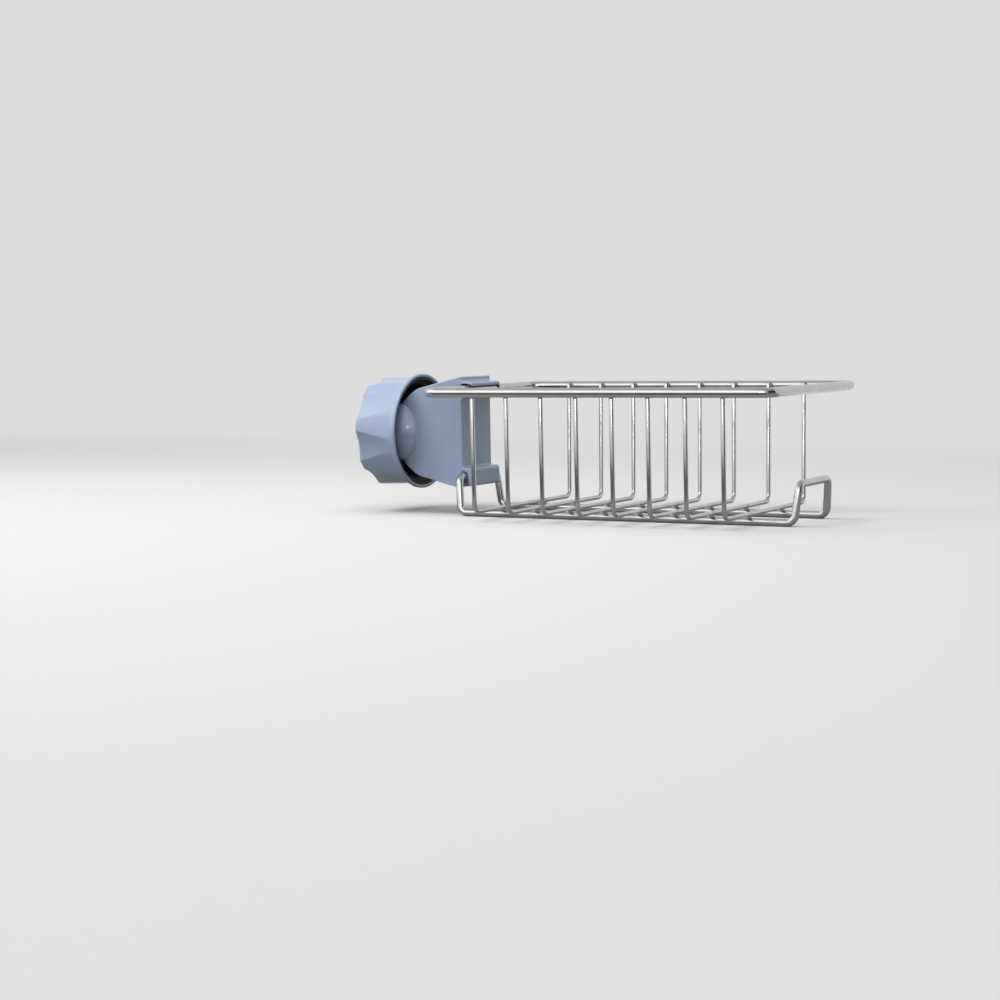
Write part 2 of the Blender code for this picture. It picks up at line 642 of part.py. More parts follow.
def cavity_profile():
    """The knob's inner wall as (x, radius) points, from its flared mouth to its end."""
    flange_back = KNOB_MOUTH_X - FLANGE_THICKNESS
    mouth_radius = FLANGE_RADIUS - FLANGE_WALL
    profile = [(KNOB_MOUTH_X - FLANGE_EDGE_ROUND, mouth_radius)]
    for step in range(FLARE_STEPS + 1):
        angle = step / FLARE_STEPS * math.pi / 2
        x = flange_back + (FLARE_START_X - flange_back) * math.sin(angle)
        widening = (1 - math.sin(angle)) * math.cos(angle)
        profile.append((x, KNOB_CAVITY_RADIUS + (mouth_radius - KNOB_CAVITY_RADIUS) * widening))
    profile.append((KNOB_CAVITY_END_X, KNOB_CAVITY_END_RADIUS))
    return profile


def inset(profile, distance):
    """Move a profile that runs towards -X square to itself, towards the axis."""
    moved = []
    for index, (x, radius) in enumerate(profile):
        last_x, last_radius = profile[max(index - 1, 0)]
        next_x, next_radius = profile[min(index + 1, len(profile) - 1)]
        run = Vector((next_x - last_x, next_radius - last_radius)).normalized()
        moved.append((x - run.y * distance, radius + run.x * distance))
    return moved


def knob_sections():
    """The knob's rings from the outside of its end wall, over the flange, to the inside of its end wall."""
    end_angle = KNOB_FLUTE_END_ANGLE
    mouth_angle = KNOB_FLUTE_MOUTH_ANGLE
    flange_back = KNOB_MOUTH_X - FLANGE_THICKNESS
    chamfer_scale = 1 - KNOB_END_CHAMFER / KNOB_CORNER_RADIUS
    sections = [
        facet_section(KNOB_END_X, end_angle, chamfer_scale, 1.0, 0.0, 0.0),
        facet_section(KNOB_END_X + KNOB_END_CHAMFER, end_angle, 1.0, 1.0, 0.0, 0.0),
        facet_section(FLARE_START_X, mouth_angle, 1.0, 0.0, 0.0, 0.0),
    ]
    for step in range(1, FLARE_STEPS + 1):
        share = step / FLARE_STEPS
        x = FLARE_START_X + (flange_back - FLARE_START_X) * math.sin(share * math.pi / 2)
        bulge = 1 - math.cos(share * math.pi / 2)
        radius = KNOB_CORNER_RADIUS + FLANGE_OVERHANG * bulge
        sections.append(facet_section(x, mouth_angle, 1.0, 0.0, share ** 0.5, radius))
    lip = FLANGE_EDGE_ROUND
    circles = [
        (KNOB_MOUTH_X - lip, FLANGE_RADIUS),
        (KNOB_MOUTH_X, FLANGE_RADIUS - lip),
        (KNOB_MOUTH_X, FLANGE_RADIUS - FLANGE_WALL + lip),
        *cavity_profile(),
    ]
    for x, radius in circles[:-1]:
        sections.append(facet_section(x, mouth_angle, 1.0, 0.0, 1.0, radius))
    end_x, end_radius = circles[-1]
    sections.append(facet_section(end_x, end_angle, 1.0, 0.0, 1.0, end_radius))
    return sections


def knob_parts(collection, materials):
    """The hollow fluted knob and the dark core that fills its bottom and lines its wall."""
    shape = bmesh.new()
    sections = knob_sections()
    rings = [[shape.verts.new(point) for point in section] for section in sections]
    count = len(rings[0])
    for ring, following in zip(rings, rings[1:]):
        for index in range(count):
            other = (index + 1) % count
            shape.faces.new((ring[index], ring[other], following[other], following[index]))
    for ring, x in ((rings[0], KNOB_END_X), (rings[-1], KNOB_CAVITY_END_X)):
        centre = shape.verts.new((x, 0.0, 0.0))
        for index in range(count):
            shape.faces.new((ring[index], ring[(index + 1) % count], centre))
    bmesh.ops.recalc_face_normals(shape, faces=shape.faces)
    mesh = bpy.data.meshes.new("knob_shell")
    shape.to_mesh(mesh)
    shape.free()
    shell = bpy.data.objects.new("knob_shell", mesh)
    smooth(shell, math.radians(9.0))
    place(shell, collection, materials["plastic"])

    cavity = cavity_profile()
    sleeve_outside = inset(cavity, SEAT_GAP)[:-1]
    sleeve_inside = inset(cavity, SEAT_GAP + CORE_SLEEVE_WALL)[:-1]
    sleeve_inside.reverse()
    disc_radius = KNOB_CAVITY_END_RADIUS - SEAT_GAP
    pocket_radius = BOLT_HEAD_RADIUS + SEAT_GAP
    pocket_front = CORE_BACK_X + BOLT_HEAD_THICKNESS + SEAT_GAP
    bore = SCREW_RADIUS + SEAT_GAP
    edge = FOOT_EDGE_ROUND
    core = turned("knob_core", [
        (HUB_FRONT_X, bore),
        (HUB_FRONT_X, CORE_HUB_RADIUS - edge),
        (HUB_FRONT_X - edge, CORE_HUB_RADIUS),
        (CORE_FRONT_X, CORE_HUB_RADIUS + edge),
        (CORE_FRONT_X, disc_radius - CORE_SLEEVE_WALL),
        *sleeve_inside,
        *sleeve_outside,
        (CORE_BACK_X, disc_radius),
        (CORE_BACK_X, pocket_radius),
        (pocket_front, pocket_radius),
        (pocket_front, bore),
    ], closed=True)
    place(core, collection, materials["core"])
    return shell, core


def main():
    clear_objects()
    parts = new_collection("wire_soap_holder")
    cutters = new_collection("cutters")
    materials = {
        "steel": plain_material("polished_steel_wire", (0.62, 0.61, 0.59), 0.22, 1.0),
        "plastic": plain_material("blue_grey_plastic", (0.28, 0.36, 0.52), 0.25, 0.0),
        "core": plain_material("black_plastic", (0.012, 0.012, 0.014), 0.45, 0.0),
        "rubber": plain_material("grey_rubber", (0.16, 0.17, 0.18), 0.75, 0.0),
        "zinc": plain_material("zinc_plated_steel", (0.55, 0.56, 0.57), 0.35, 1.0),
    }
    basket_wires(parts, materials)
    clamp(parts, cutters, materials)
    screw, foot, pad = screw_parts(parts, materials)
    shell, core = knob_parts(parts, materials)

    foot_slide = place_empty("foot_slide_axis", parts)
    knob_turn = place_empty("knob_turn_axis", parts)
    knob_turn.parent = foot_slide
    foot.parent = foot_slide
    pad.parent = foot_slide
    for piece in (screw, shell, core):
        piece.parent = knob_turn


def place_empty(name, collection):
    """An empty on the screw's axis, which the pieces that move together hang from."""
    empty = bpy.data.objects.new(name, None)
    empty.empty_display_size = BODY_HALF_DEPTH
    collection.objects.link(empty)
    return empty


main()
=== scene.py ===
"""Wire soap holder with a screw clamp, dressed for rendering.

Sizes are in metres. The clamp closes round the Z axis, the screw runs along X and the basket stretches
out along +X.
"""
import math

import bmesh
import bpy
from bpy.props import FloatProperty, FloatVectorProperty, IntProperty, PointerProperty
from mathutils import Matrix, Vector


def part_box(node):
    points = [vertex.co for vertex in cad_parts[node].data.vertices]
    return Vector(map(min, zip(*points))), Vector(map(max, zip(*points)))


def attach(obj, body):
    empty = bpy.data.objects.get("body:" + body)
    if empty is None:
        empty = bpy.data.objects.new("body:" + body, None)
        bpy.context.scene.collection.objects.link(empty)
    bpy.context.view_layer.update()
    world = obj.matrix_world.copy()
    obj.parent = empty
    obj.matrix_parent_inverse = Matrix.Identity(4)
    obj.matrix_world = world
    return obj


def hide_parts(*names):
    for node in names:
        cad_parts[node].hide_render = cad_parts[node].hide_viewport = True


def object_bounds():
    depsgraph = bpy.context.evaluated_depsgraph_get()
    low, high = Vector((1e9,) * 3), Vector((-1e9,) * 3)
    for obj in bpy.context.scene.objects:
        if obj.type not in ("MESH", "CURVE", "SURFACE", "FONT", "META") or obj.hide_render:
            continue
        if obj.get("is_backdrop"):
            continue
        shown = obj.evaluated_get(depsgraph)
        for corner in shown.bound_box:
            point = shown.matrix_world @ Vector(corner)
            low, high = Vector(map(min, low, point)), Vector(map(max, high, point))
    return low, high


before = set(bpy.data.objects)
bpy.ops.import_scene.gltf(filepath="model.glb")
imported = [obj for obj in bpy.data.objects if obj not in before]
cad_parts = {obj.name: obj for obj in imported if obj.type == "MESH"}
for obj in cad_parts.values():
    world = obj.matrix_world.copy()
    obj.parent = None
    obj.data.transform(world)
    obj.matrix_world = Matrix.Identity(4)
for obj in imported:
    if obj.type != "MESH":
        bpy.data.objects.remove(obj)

bl_info = {
    "name": "Wire Soap Holder",
    "version": (1, 0, 0),
    "blender": (4, 5, 0),
    "location": "View3D > Sidebar > Soap Holder",
    "description": "Builds the wires, clamp, knob and studio of a clamp-on wire soap holder",
    "category": "Object",
}

RIB_PREFIX = "cross_rib_"
RIB_NAMES = sorted((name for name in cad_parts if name.startswith(RIB_PREFIX)),
                   key=lambda name: int(name.removeprefix(RIB_PREFIX)))
RIM_LOW, RIM_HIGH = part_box("top_rim_wire")
RIB_LOW, RIB_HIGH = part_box(RIB_NAMES[0])
LAST_RIB_LOW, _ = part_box(RIB_NAMES[-1])
FRAME_LOW, FRAME_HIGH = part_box("bottom_frame_wire")
SCREW_LOW, SCREW_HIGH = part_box("clamp_screw")

RIM_RADIUS = (RIM_HIGH.z - RIM_LOW.z) / 2
RIB_RADIUS = (RIB_HIGH.x - RIB_LOW.x) / 2
RIB_PITCH = (LAST_RIB_LOW.x - RIB_LOW.x) / (len(RIB_NAMES) - 1)
FIRST_RIB_X = (RIB_LOW.x + RIB_HIGH.x) / 2
RIM_Z = (RIM_LOW.z + RIM_HIGH.z) / 2
RIB_FLOOR_Z = RIB_LOW.z + RIB_RADIUS

# Points closer together than this are one point
MERGE_DISTANCE = 0.000002

# Edges sharper than this stay sharp in the shading
WIRE_CREASE = math.radians(32.0)
MOULD_CREASE = math.radians(30.0)
KNOB_CREASE = math.radians(7.0)
WELD_CREASE = math.radians(70.0)
PAPER_CREASE = math.radians(40.0)

# Each lamp with the setting for its power, its place and width, and whether gloss shows it
LAMP_TARGET = (0.09, 0.0, 0.0)
LAMPS = (
    ("left_lamp", "left_lamp", (-0.55, -0.32, 0.88), 0.5, False),
    ("top_lamp", "top_lamp", (0.10, -0.15, 1.1), 1.0, False),
    ("fill_lamp", "fill_lamp", (-0.15, -0.95, 0.40), 0.6, False),
    ("front_lamp_left", "front_lamp", (0.531, -1.129, 0.186), 0.11, True),
    ("front_lamp_right", "front_lamp", (0.785, -0.944, 0.268), 0.11, True),
)


# ---------------- settings

class WireSettings(bpy.types.PropertyGroup):
    """Sizes of the basket's wires and of their bends."""

    rim_radius: FloatProperty(
        name="Rim wire radius", description="Half the thickness of the rim wire",
        default=RIM_RADIUS, min=0.0005, unit="LENGTH", precision=5)
    rib_radius: FloatProperty(
        name="Rib wire radius", description="Half the thickness of the cross ribs",
        default=RIB_RADIUS, min=0.0003, unit="LENGTH", precision=5)
    frame_radius: FloatProperty(
        name="Bottom wire radius", description="Half the thickness of the bottom frame wire",
        default=0.0019, min=0.0004, unit="LENGTH", precision=5)
    rim_bend: FloatProperty(
        name="Rim bend radius", description="Bend radius of the rim's corners, at the wire's centre",
        default=0.007, min=0.003, unit="LENGTH", precision=5)
    rib_bend: FloatProperty(
        name="Rib bend radius", description="Bend radius of a rib's two lower corners",
        default=0.0042, min=0.0015, unit="LENGTH", precision=5)
    loop_bend: FloatProperty(
        name="Loop bend radius", description="Bend radius of the bottom frame's upturned loops",
        default=0.0042, min=0.0025, unit="LENGTH", precision=5)
    rib_lean: FloatProperty(
        name="Rib lean", description="How far a rib's foot stands inside its top",
        default=0.001, min=0.0, unit="LENGTH", precision=5)
    loop_lean: FloatProperty(
        name="Loop lean", description="How far a loop's top leans out beyond its foot",
        default=0.0018, min=0.0, unit="LENGTH", precision=5)
    loop_taper: FloatProperty(
        name="Loop taper", description="How far each side of a loop's top stands inside its rail",
        default=0.0022, min=0.0, unit="LENGTH", precision=5)
    sides: IntProperty(
        name="Sides", description="Sides of a thick wire's round section",
        default=28, min=12, max=64)
    bend_steps: IntProperty(
        name="Bend steps", description="Faces along each bend",
        default=10, min=4, max=32)


class WeldSettings(bpy.types.PropertyGroup):
    """Sizes of the weld spots between the wires."""

    rail_spot: FloatVectorProperty(
        name="Rail weld spot", description="Half sizes of the spot between a rib and a rail",
        default=(0.0013, 0.0014, 0.0009), subtype="XYZ", unit="LENGTH", precision=5)
    rim_spot: FloatVectorProperty(
        name="Rim weld spot", description="Half sizes of the spot between a rib and the rim",
        default=(0.0014, 0.0010, 0.0019), subtype="XYZ", unit="LENGTH", precision=5)
    unevenness: FloatProperty(
        name="Unevenness", description="How far the surface of a weld spot wanders",
        default=0.00016, min=0.0, unit="LENGTH", precision=5)


class FinishSettings(bpy.types.PropertyGroup):
    """Colours of the materials."""

    steel: FloatVectorProperty(
        name="Polished steel", description="Colour of the wires",
        default=(0.64, 0.63, 0.62), subtype="COLOR", min=0.0, max=1.0)
    weld_tint: FloatVectorProperty(
        name="Weld tint", description="Colour of the steel where the welds have heated it",
        default=(0.34, 0.32, 0.30), subtype="COLOR", min=0.0, max=1.0)
    plastic: FloatVectorProperty(
        name="Blue-grey plastic", description="Colour of the clamp and the knob",
        default=(0.288, 0.362, 0.484), subtype="COLOR", min=0.0, max=1.0)
    black: FloatVectorProperty(
        name="Black plastic", description="Colour of the knob's core and the foot",
        default=(0.012, 0.012, 0.014), subtype="COLOR", min=0.0, max=1.0)
    rubber: FloatVectorProperty(
        name="Grey rubber", description="Colour of the pads on the foot and the jaw",
        default=(0.11, 0.115, 0.12), subtype="COLOR", min=0.0, max=1.0)
    zinc: FloatVectorProperty(
        name="Zinc plating", description="Colour of the screw",
        default=(0.58, 0.59, 0.60), subtype="COLOR", min=0.0, max=1.0)


class ScrewSettings(bpy.types.PropertyGroup):
    """Sizes of the clamp screw and its thread."""

    pitch: FloatProperty(
        name="Thread pitch", description="How far the screw moves in one turn",
        default=0.003, min=0.001, unit="LENGTH", precision=5)
    root_radius: FloatProperty(
        name="Thread root radius", description="Radius of the spindle between the threads",
        default=0.0037, min=0.001, unit="LENGTH", precision=5)
    crest_radius: FloatProperty(
        name="Thread crest radius", description="Outer radius of the thread",
        default=0.00475, min=0.001, unit="LENGTH", precision=5)
    crest_width: FloatProperty(
        name="Thread crest width", description="Width of the thread's flat crest along the screw",
        default=0.0010, min=0.0001, unit="LENGTH", precision=5)
    foot_width: FloatProperty(
        name="Thread foot width", description="Width of the thread where it leaves the spindle",
        default=0.0019, min=0.0001, unit="LENGTH", precision=5)
    bolt_head_radius: FloatProperty(
        name="Bolt head radius", description="Radius of the head that the knob's core holds",
        default=0.0075, min=0.001, unit="LENGTH", precision=5)
    bolt_head_thickness: FloatProperty(
        name="Bolt head thickness", description="Thickness of the head that the knob's core holds",
        default=0.003, min=0.0005, unit="LENGTH", precision=5)
    neck_radius: FloatProperty(
        name="Neck radius", description="Radius of the neck that turns in the foot",
        default=0.0024, min=0.0005, unit="LENGTH", precision=5)
    tip_head_radius: FloatProperty(
        name="Tip head radius", description="Radius of the small head that holds the foot",
        default=0.0036, min=0.0005, unit="LENGTH", precision=5)


class MouldSettings(bpy.types.PropertyGroup):
    """Sizes of the small forms on the moulded parts."""

    edge_round: FloatProperty(
        name="Edge round", description="How wide the light runs round the edges of the blue-grey parts",
        default=0.00035, min=0.0, unit="LENGTH", precision=5)
    groove_count: IntProperty(
        name="Liner grooves", description="Level grooves in the liner of the fixed jaw",
        default=9, min=1, max=30)
    ring_count: IntProperty(
        name="Pad rings", description="Ring grooves in the round pad on the foot",
        default=3, min=1, max=6)
    groove_depth: FloatProperty(
        name="Groove depth", description="How deep a groove in the rubber is",
        default=0.0005, min=0.0, unit="LENGTH", precision=5)
    groove_width: FloatProperty(
        name="Groove width", description="How wide a groove in the rubber is",
        default=0.0011, min=0.0001, unit="LENGTH", precision=5)
    land: FloatProperty(
        name="Land", description="Rubber left standing between two ring grooves",
        default=0.0014, min=0.0001, unit="LENGTH", precision=5)
    hollow_half_width: FloatProperty(
        name="Grooved half width", description="How far the liner's grooves reach to each side",
        default=0.0088, min=0.001, unit="LENGTH", precision=5)


class StageSettings(bpy.types.PropertyGroup):
    """The studio round the soap holder."""

    floor_colour: FloatVectorProperty(
        name="Floor colour", description="Colour of the floor",
        default=(0.60, 0.60, 0.595), subtype="COLOR", min=0.0, max=1.0)
    backdrop_colour: FloatVectorProperty(
        name="Backdrop colour", description="Colour of the backdrop as it is seen",
        default=(0.72, 0.72, 0.715), subtype="COLOR", min=0.0, max=1.0)
    bounce_colour: FloatVectorProperty(
        name="Bounce colour", description="Colour that the floor and the backdrop throw on the object",
        default=(0.16, 0.16, 0.16), subtype="COLOR", min=0.0, max=1.0)
    zenith_colour: FloatVectorProperty(
        name="Zenith colour", description="Light from straight above",
        default=(0.50, 0.51, 0.53), subtype="COLOR", min=0.0, max=4.0)
    front_colour: FloatVectorProperty(
        name="Front colour", description="Light from the bright front and left of the room",
        default=(1.62, 1.63, 1.66), subtype="COLOR", min=0.0, max=4.0)
    side_colour: FloatVectorProperty(
        name="Side colour", description="Light from the right and the back of the room",
        default=(0.30, 0.31, 0.325), subtype="COLOR", min=0.0, max=4.0)
    card_colour: FloatVectorProperty(
        name="Card colour", description="Colour of the dark cards that draw lines into the steel",
        default=(0.035, 0.036, 0.038), subtype="COLOR", min=0.0, max=1.0)
    card_fade_colour: FloatVectorProperty(
        name="Card fade colour", description="Colour of the front card under the soap holder",
        default=(0.24, 0.24, 0.24), subtype="COLOR", min=0.0, max=1.0)
    left_lamp: FloatProperty(
        name="Left lamp", description="Power of the soft lamp high on the left",
        default=5.8, min=0.0, unit="POWER")
    top_lamp: FloatProperty(
        name="Top lamp", description="Power of the wide lamp above", default=6.6, min=0.0, unit="POWER")
    fill_lamp: FloatProperty(
        name="Fill lamp", description="Power of the soft lamp in front", default=0.6, min=0.0, unit="POWER")
    front_lamp: FloatProperty(
        name="Front lamp", description="Power of each of the two small lamps near the camera",
        default=0.40, min=0.0, unit="POWER")
    camera_place: FloatVectorProperty(
        name="Camera place", description="Where the camera stands",
        default=(0.55601, -0.94381, 0.05259), subtype="TRANSLATION", unit="LENGTH", precision=5)
    camera_yaw: FloatProperty(
        name="Camera yaw", description="Turn of the view to the left of +Y",
        default=math.radians(29.0), subtype="ANGLE")
    camera_pitch: FloatProperty(
        name="Camera pitch", description="Tilt of the view, upwards",
        default=math.radians(-4.68468), subtype="ANGLE")
    camera_roll: FloatProperty(
        name="Camera roll", description="Roll of the view",
        default=math.radians(-0.94761), subtype="ANGLE")
    camera_lens: FloatProperty(
        name="Camera lens", description="Focal length in millimetres on a 36 mm sensor",
        default=74.483, min=20.0, max=200.0)


SETTINGS = {
    "soap_holder_wires": WireSettings,
    "soap_holder_welds": WeldSettings,
    "soap_holder_finishes": FinishSettings,
    "soap_holder_screw": ScrewSettings,
    "soap_holder_moulds": MouldSettings,
    "soap_holder_stage": StageSettings,
}


# ---------------- materials

class Value:
    """One output of a node, which takes part in plain arithmetic."""

    def __init__(self, nodes, socket):
        self.nodes = nodes
        self.socket = socket

    def math(self, operation, other=0.0):
        return self.nodes.add("ShaderNodeMath", {"operation": operation}, {0: self, 1: other})

    def __add__(self, other):
        return self.math("ADD", other)

    __radd__ = __add__

    def __mul__(self, other):
        return self.math("MULTIPLY", other)

    __rmul__ = __mul__

    def __sub__(self, other):
        return self.math("SUBTRACT", other)

    def __truediv__(self, other):
        return self.math("DIVIDE", other)

    def __pow__(self, other):
        return self.math("POWER", other)

    def __abs__(self):
        return self.math("ABSOLUTE")

    def whole(self):
        """The nearest whole number."""
        return self.math("ROUND")

    def at_least(self, other):
        return self.math("MAXIMUM", other)

    def at_most(self, other):
        return self.math("MINIMUM", other)


class Nodes:
    """The node tree of one material or of the world."""

    def __init__(self, tree):
        self.tree = tree
        tree.nodes.clear()

    def add(self, kind, settings=None, inputs=None, output=0):
        """Adds a node, sets it up and feeds it. Returns one of its outputs."""
        node = self.tree.nodes.new(kind)
        for name, setting in (settings or {}).items():
            setattr(node, name, setting)
        for name, value in (inputs or {}).items():
            if isinstance(value, Value):
                self.tree.links.new(value.socket, node.inputs[name])
            else:
                node.inputs[name].default_value = value
        return Value(self, node.outputs[output]) if node.outputs else None

    def axes(self, kind="Object"):
        """X, Y and Z of the point on the piece, or of another coordinate."""
        point = self.add("ShaderNodeTexCoord", output=kind)
        split = self.add("ShaderNodeSeparateXYZ", {}, {"Vector": point})
        return [Value(self, socket) for socket in split.socket.node.outputs]

    def noise(self, scale, detail=2.0, roughness=0.5, stretch=(1.0, 1.0, 1.0)):
        """Soft noise with about scale spots to the metre, on the piece's own axes stretched by stretch."""
        point = self.add("ShaderNodeTexCoord", output="Object")
        point = self.add("ShaderNodeMapping", {"vector_type": "POINT"}, {"Vector": point, "Scale": stretch})
        return self.add("ShaderNodeTexNoise", {"noise_dimensions": "3D"},
                        {"Vector": point, "Scale": scale, "Detail": detail, "Roughness": roughness})

    def ease(self, value, low, high, start=0.0, end=1.0):
        """start where value is below low, end where it is above high, and smooth between."""
        return self.add("ShaderNodeMapRange", {"interpolation_type": "SMOOTHSTEP", "clamp": True},
                        {"Value": value, "From Min": low, "From Max": high, "To Min": start, "To Max": end})

    def mix(self, share, first, second):
        """A colour between two colours."""
        return self.add("ShaderNodeMix", {"data_type": "RGBA", "clamp_factor": True},
                        {0: share, 6: first, 7: second}, output=2)

    def bump(self, height, distance, strength=1.0, normal=None):
        """A normal bent by height, in units of distance metres."""
        inputs = {"Height": height, "Distance": distance, "Strength": strength}
        if normal is not None:
            inputs["Normal"] = normal
        return self.add("ShaderNodeBump", {}, inputs)

    def edges(self, width):
        """About 1 on the piece's outer edges and 0 on its faces."""
        rounded = self.add("ShaderNodeBevel", {"samples": 6}, {"Radius": width})
        normal = self.add("ShaderNodeNewGeometry", output="Normal")
        facing = self.add("ShaderNodeVectorMath", {"operation": "DOT_PRODUCT"},
                          {0: rounded, 1: normal}, output="Value")
        return self.ease(facing, 0.999, 0.93)

    def finish(self, **shader):
        """Ends the tree in one Principled shader with these inputs."""
        sockets = {name.replace("_", " "): value for name, value in shader.items()}
        surface = self.add("ShaderNodeBsdfPrincipled", {}, sockets)
        self.add("ShaderNodeOutputMaterial", {}, {"Surface": surface})


def colour(rgb, factor=1.0, lift=0.0):
    """A colour with its alpha, made darker by factor and then paler by lift."""
    return (*(part * factor + lift for part in rgb), 1.0)


def new_material(name):
    """A fresh material and its node tree."""
    material = bpy.data.materials.new(name)
    material.use_nodes = True
    return material, Nodes(material.node_tree)


def made_once(name):
    """Makes the material that a function describes once, and then hands out the same one."""

    def wrap(describe):
        made = []

        def material():
            if not made:
                fresh, nodes = new_material(name)
                describe(nodes, bpy.context.scene.soap_holder_finishes)
                made.append(fresh)
            return made[0]

        return material

    return wrap


def near_welds(nodes, reach):
    """1 at the weld spots between the ribs, the rim and the rails, and 0 from reach metres away."""
    x, y, z = nodes.axes()
    rib = ((x - FIRST_RIB_X) / RIB_PITCH).whole().at_least(0.0).at_most(float(len(RIB_NAMES) - 1))
    along = x - FIRST_RIB_X - rib * RIB_PITCH
    rail_y = FRAME_HIGH.y - bpy.context.scene.soap_holder_wires.frame_radius
    rim_y = RIM_HIGH.y - 2 * RIM_RADIUS
    distances = []
    for spot_y, spot_z in ((rail_y, RIB_FLOOR_Z - RIB_RADIUS), (rim_y, RIM_Z)):
        across = abs(y) - spot_y
        up = z - spot_z
        distances.append((along * along + across * across + up * up) ** 0.5)
    nearest = distances[0].at_most(distances[1])
    return nodes.ease(nearest, reach, reach * 0.3)


@made_once("polished_steel_wire")
def polished_steel(nodes, finishes):
    """Stainless wire: drawn, bent, welded and electropolished."""
    heat = near_welds(nodes, 0.0030)
    cloud = nodes.noise(90.0, detail=3.0)
    lines = nodes.noise(600.0)
    speck = nodes.noise(4200.0)
    tint = nodes.mix(nodes.ease(cloud, 0.35, 0.7), colour(finishes.steel), colour(finishes.steel, 0.92))
    tint = nodes.mix(heat * 0.6, tint, colour(finishes.weld_tint))
    roughness = 0.10 + cloud * 0.06 + nodes.ease(lines, 0.45, 0.75) * 0.03 + heat * 0.18
    height = speck * 0.10 + heat * speck * 2.0
    nodes.finish(Base_Color=tint, Metallic=1.0, Roughness=roughness, Normal=nodes.bump(height, 0.000002, 0.5))


@made_once("weld_steel")
def weld_steel(nodes, finishes):
    """The cooled metal of a weld spot."""
    grain = nodes.noise(1500.0, detail=3.0)
    tint = nodes.mix(nodes.ease(grain, 0.35, 0.7), colour(finishes.weld_tint), colour(finishes.steel, 0.8))
    nodes.finish(Base_Color=tint, Metallic=1.0, Roughness=0.30 + grain * 0.2,
                 Normal=nodes.bump(grain, 0.00002, 0.7))


@made_once("blue_grey_plastic")
def blue_grey_plastic(nodes, finishes):
    """Glossy moulded plastic with faint flow marks and edges painted a little paler, partly as wear and
    partly as a painted highlight.
    """
    flow = nodes.noise(38.0, detail=3.0, roughness=0.55, stretch=(1.0, 1.0, 0.45))
    grain = nodes.noise(900.0)
    scuff = nodes.ease(nodes.noise(1.0, detail=3.0, stretch=(420.0, 420.0, 3800.0)), 0.62, 0.80)
    edge_wear_and_highlight = nodes.edges(0.0005)
    tint = nodes.mix(nodes.ease(flow, 0.35, 0.68), colour(finishes.plastic), colour(finishes.plastic, 0.93))
    # Painted highlight: the edges are mixed towards a paler blue-grey, partly wear and partly the light that
    # runs along them.
    tint = nodes.mix(edge_wear_and_highlight * 0.30, tint, colour(finishes.plastic, 0.5, 0.5))
    roughness = 0.15 + flow * 0.08 + scuff * 0.10 + edge_wear_and_highlight * 0.10
    height = grain * 0.6 + flow * 1.6 + scuff * 0.25
    rounded = nodes.add("ShaderNodeBevel", {"samples": 8},
                        {"Radius": bpy.context.scene.soap_holder_moulds.edge_round})
    nodes.finish(Base_Color=tint, Roughness=roughness, IOR=1.52, Coat_Weight=0.30, Coat_Roughness=0.06,
                 Normal=nodes.bump(height, 0.000012, 0.6, rounded))


@made_once("black_plastic")
def black_plastic(nodes, finishes):
    """Dark moulded plastic with a fine spark-eroded grain."""
    grain = nodes.noise(2200.0, detail=3.0)
    cloud = nodes.noise(120.0)
    edge_wear_and_highlight = nodes.edges(0.0003)
    # Painted highlight: the edges are lifted a little paler, partly wear and partly the light that catches
    # them.
    tint = nodes.mix(edge_wear_and_highlight * 0.5, colour(finishes.black), colour(finishes.black, lift=0.06))
    nodes.finish(Base_Color=tint, Roughness=0.42 + cloud * 0.16 + grain * 0.08,
                 Normal=nodes.bump(grain, 0.00003, 0.7))


@made_once("grey_rubber")
def grey_rubber(nodes, finishes):
    """Soft rubber, matt, with a dusting of mould powder."""
    grain = nodes.noise(1600.0, detail=4.0, roughness=0.6)
    bloom = nodes.ease(nodes.noise(160.0, detail=3.0), 0.45, 0.75)
    tint = nodes.mix(bloom * 0.35, colour(finishes.rubber), colour(finishes.rubber, lift=0.09))
    nodes.finish(Base_Color=tint, Roughness=0.68 + bloom * 0.18, Normal=nodes.bump(grain, 0.00004, 0.8))


@made_once("zinc_plated_steel")
def zinc_plated_steel(nodes, finishes):
    """Bright zinc on a turned and rolled screw."""
    cloud = nodes.noise(260.0, detail=3.0)
    turning = nodes.noise(1.0, stretch=(5200.0, 260.0, 260.0))
    red, green, blue = finishes.zinc
    dull = (red * 0.86, green * 0.86, blue * 0.80, 1.0)
    tint = nodes.mix(nodes.ease(cloud, 0.4, 0.7), colour(finishes.zinc), dull)
    nodes.finish(Base_Color=tint, Metallic=1.0, Roughness=0.24 + cloud * 0.16 + turning * 0.08,
                 Normal=nodes.bump(turning, 0.000012, 0.6))


# ---------------- modelling helpers

def deselect_all():
    """Leaves object mode with nothing selected."""
    if bpy.context.object is not None and bpy.context.object.mode != "OBJECT":
        bpy.ops.object.mode_set(mode="OBJECT")
    bpy.ops.object.select_all(action="DESELECT")


def pick_only(*objects):
    """Selects these objects and nothing else. The first one is active."""
    deselect_all()
    for obj in objects:
        obj.select_set(True)
    bpy.context.view_layer.objects.active = objects[0]


def newest(name):
    """The object that was just added, under its name."""
    bpy.context.object.name = name
    return bpy.context.object


def edit(obj):
    """Starts editing obj's mesh with all of it selected."""
    pick_only(obj)
    bpy.ops.object.mode_set(mode="EDIT")
    bpy.ops.mesh.select_all(action="SELECT")


def select_only(obj, kind, test):
    """Selects the faces or edges that pass the test and nothing else."""
    bpy.ops.mesh.select_mode(type=kind)
    bpy.ops.mesh.select_all(action="DESELECT")
    shape = bmesh.from_edit_mesh(obj.data)
    for item in shape.faces if kind == "FACE" else shape.edges:
        item.select_set(bool(test(item)))
    bmesh.update_edit_mesh(obj.data)


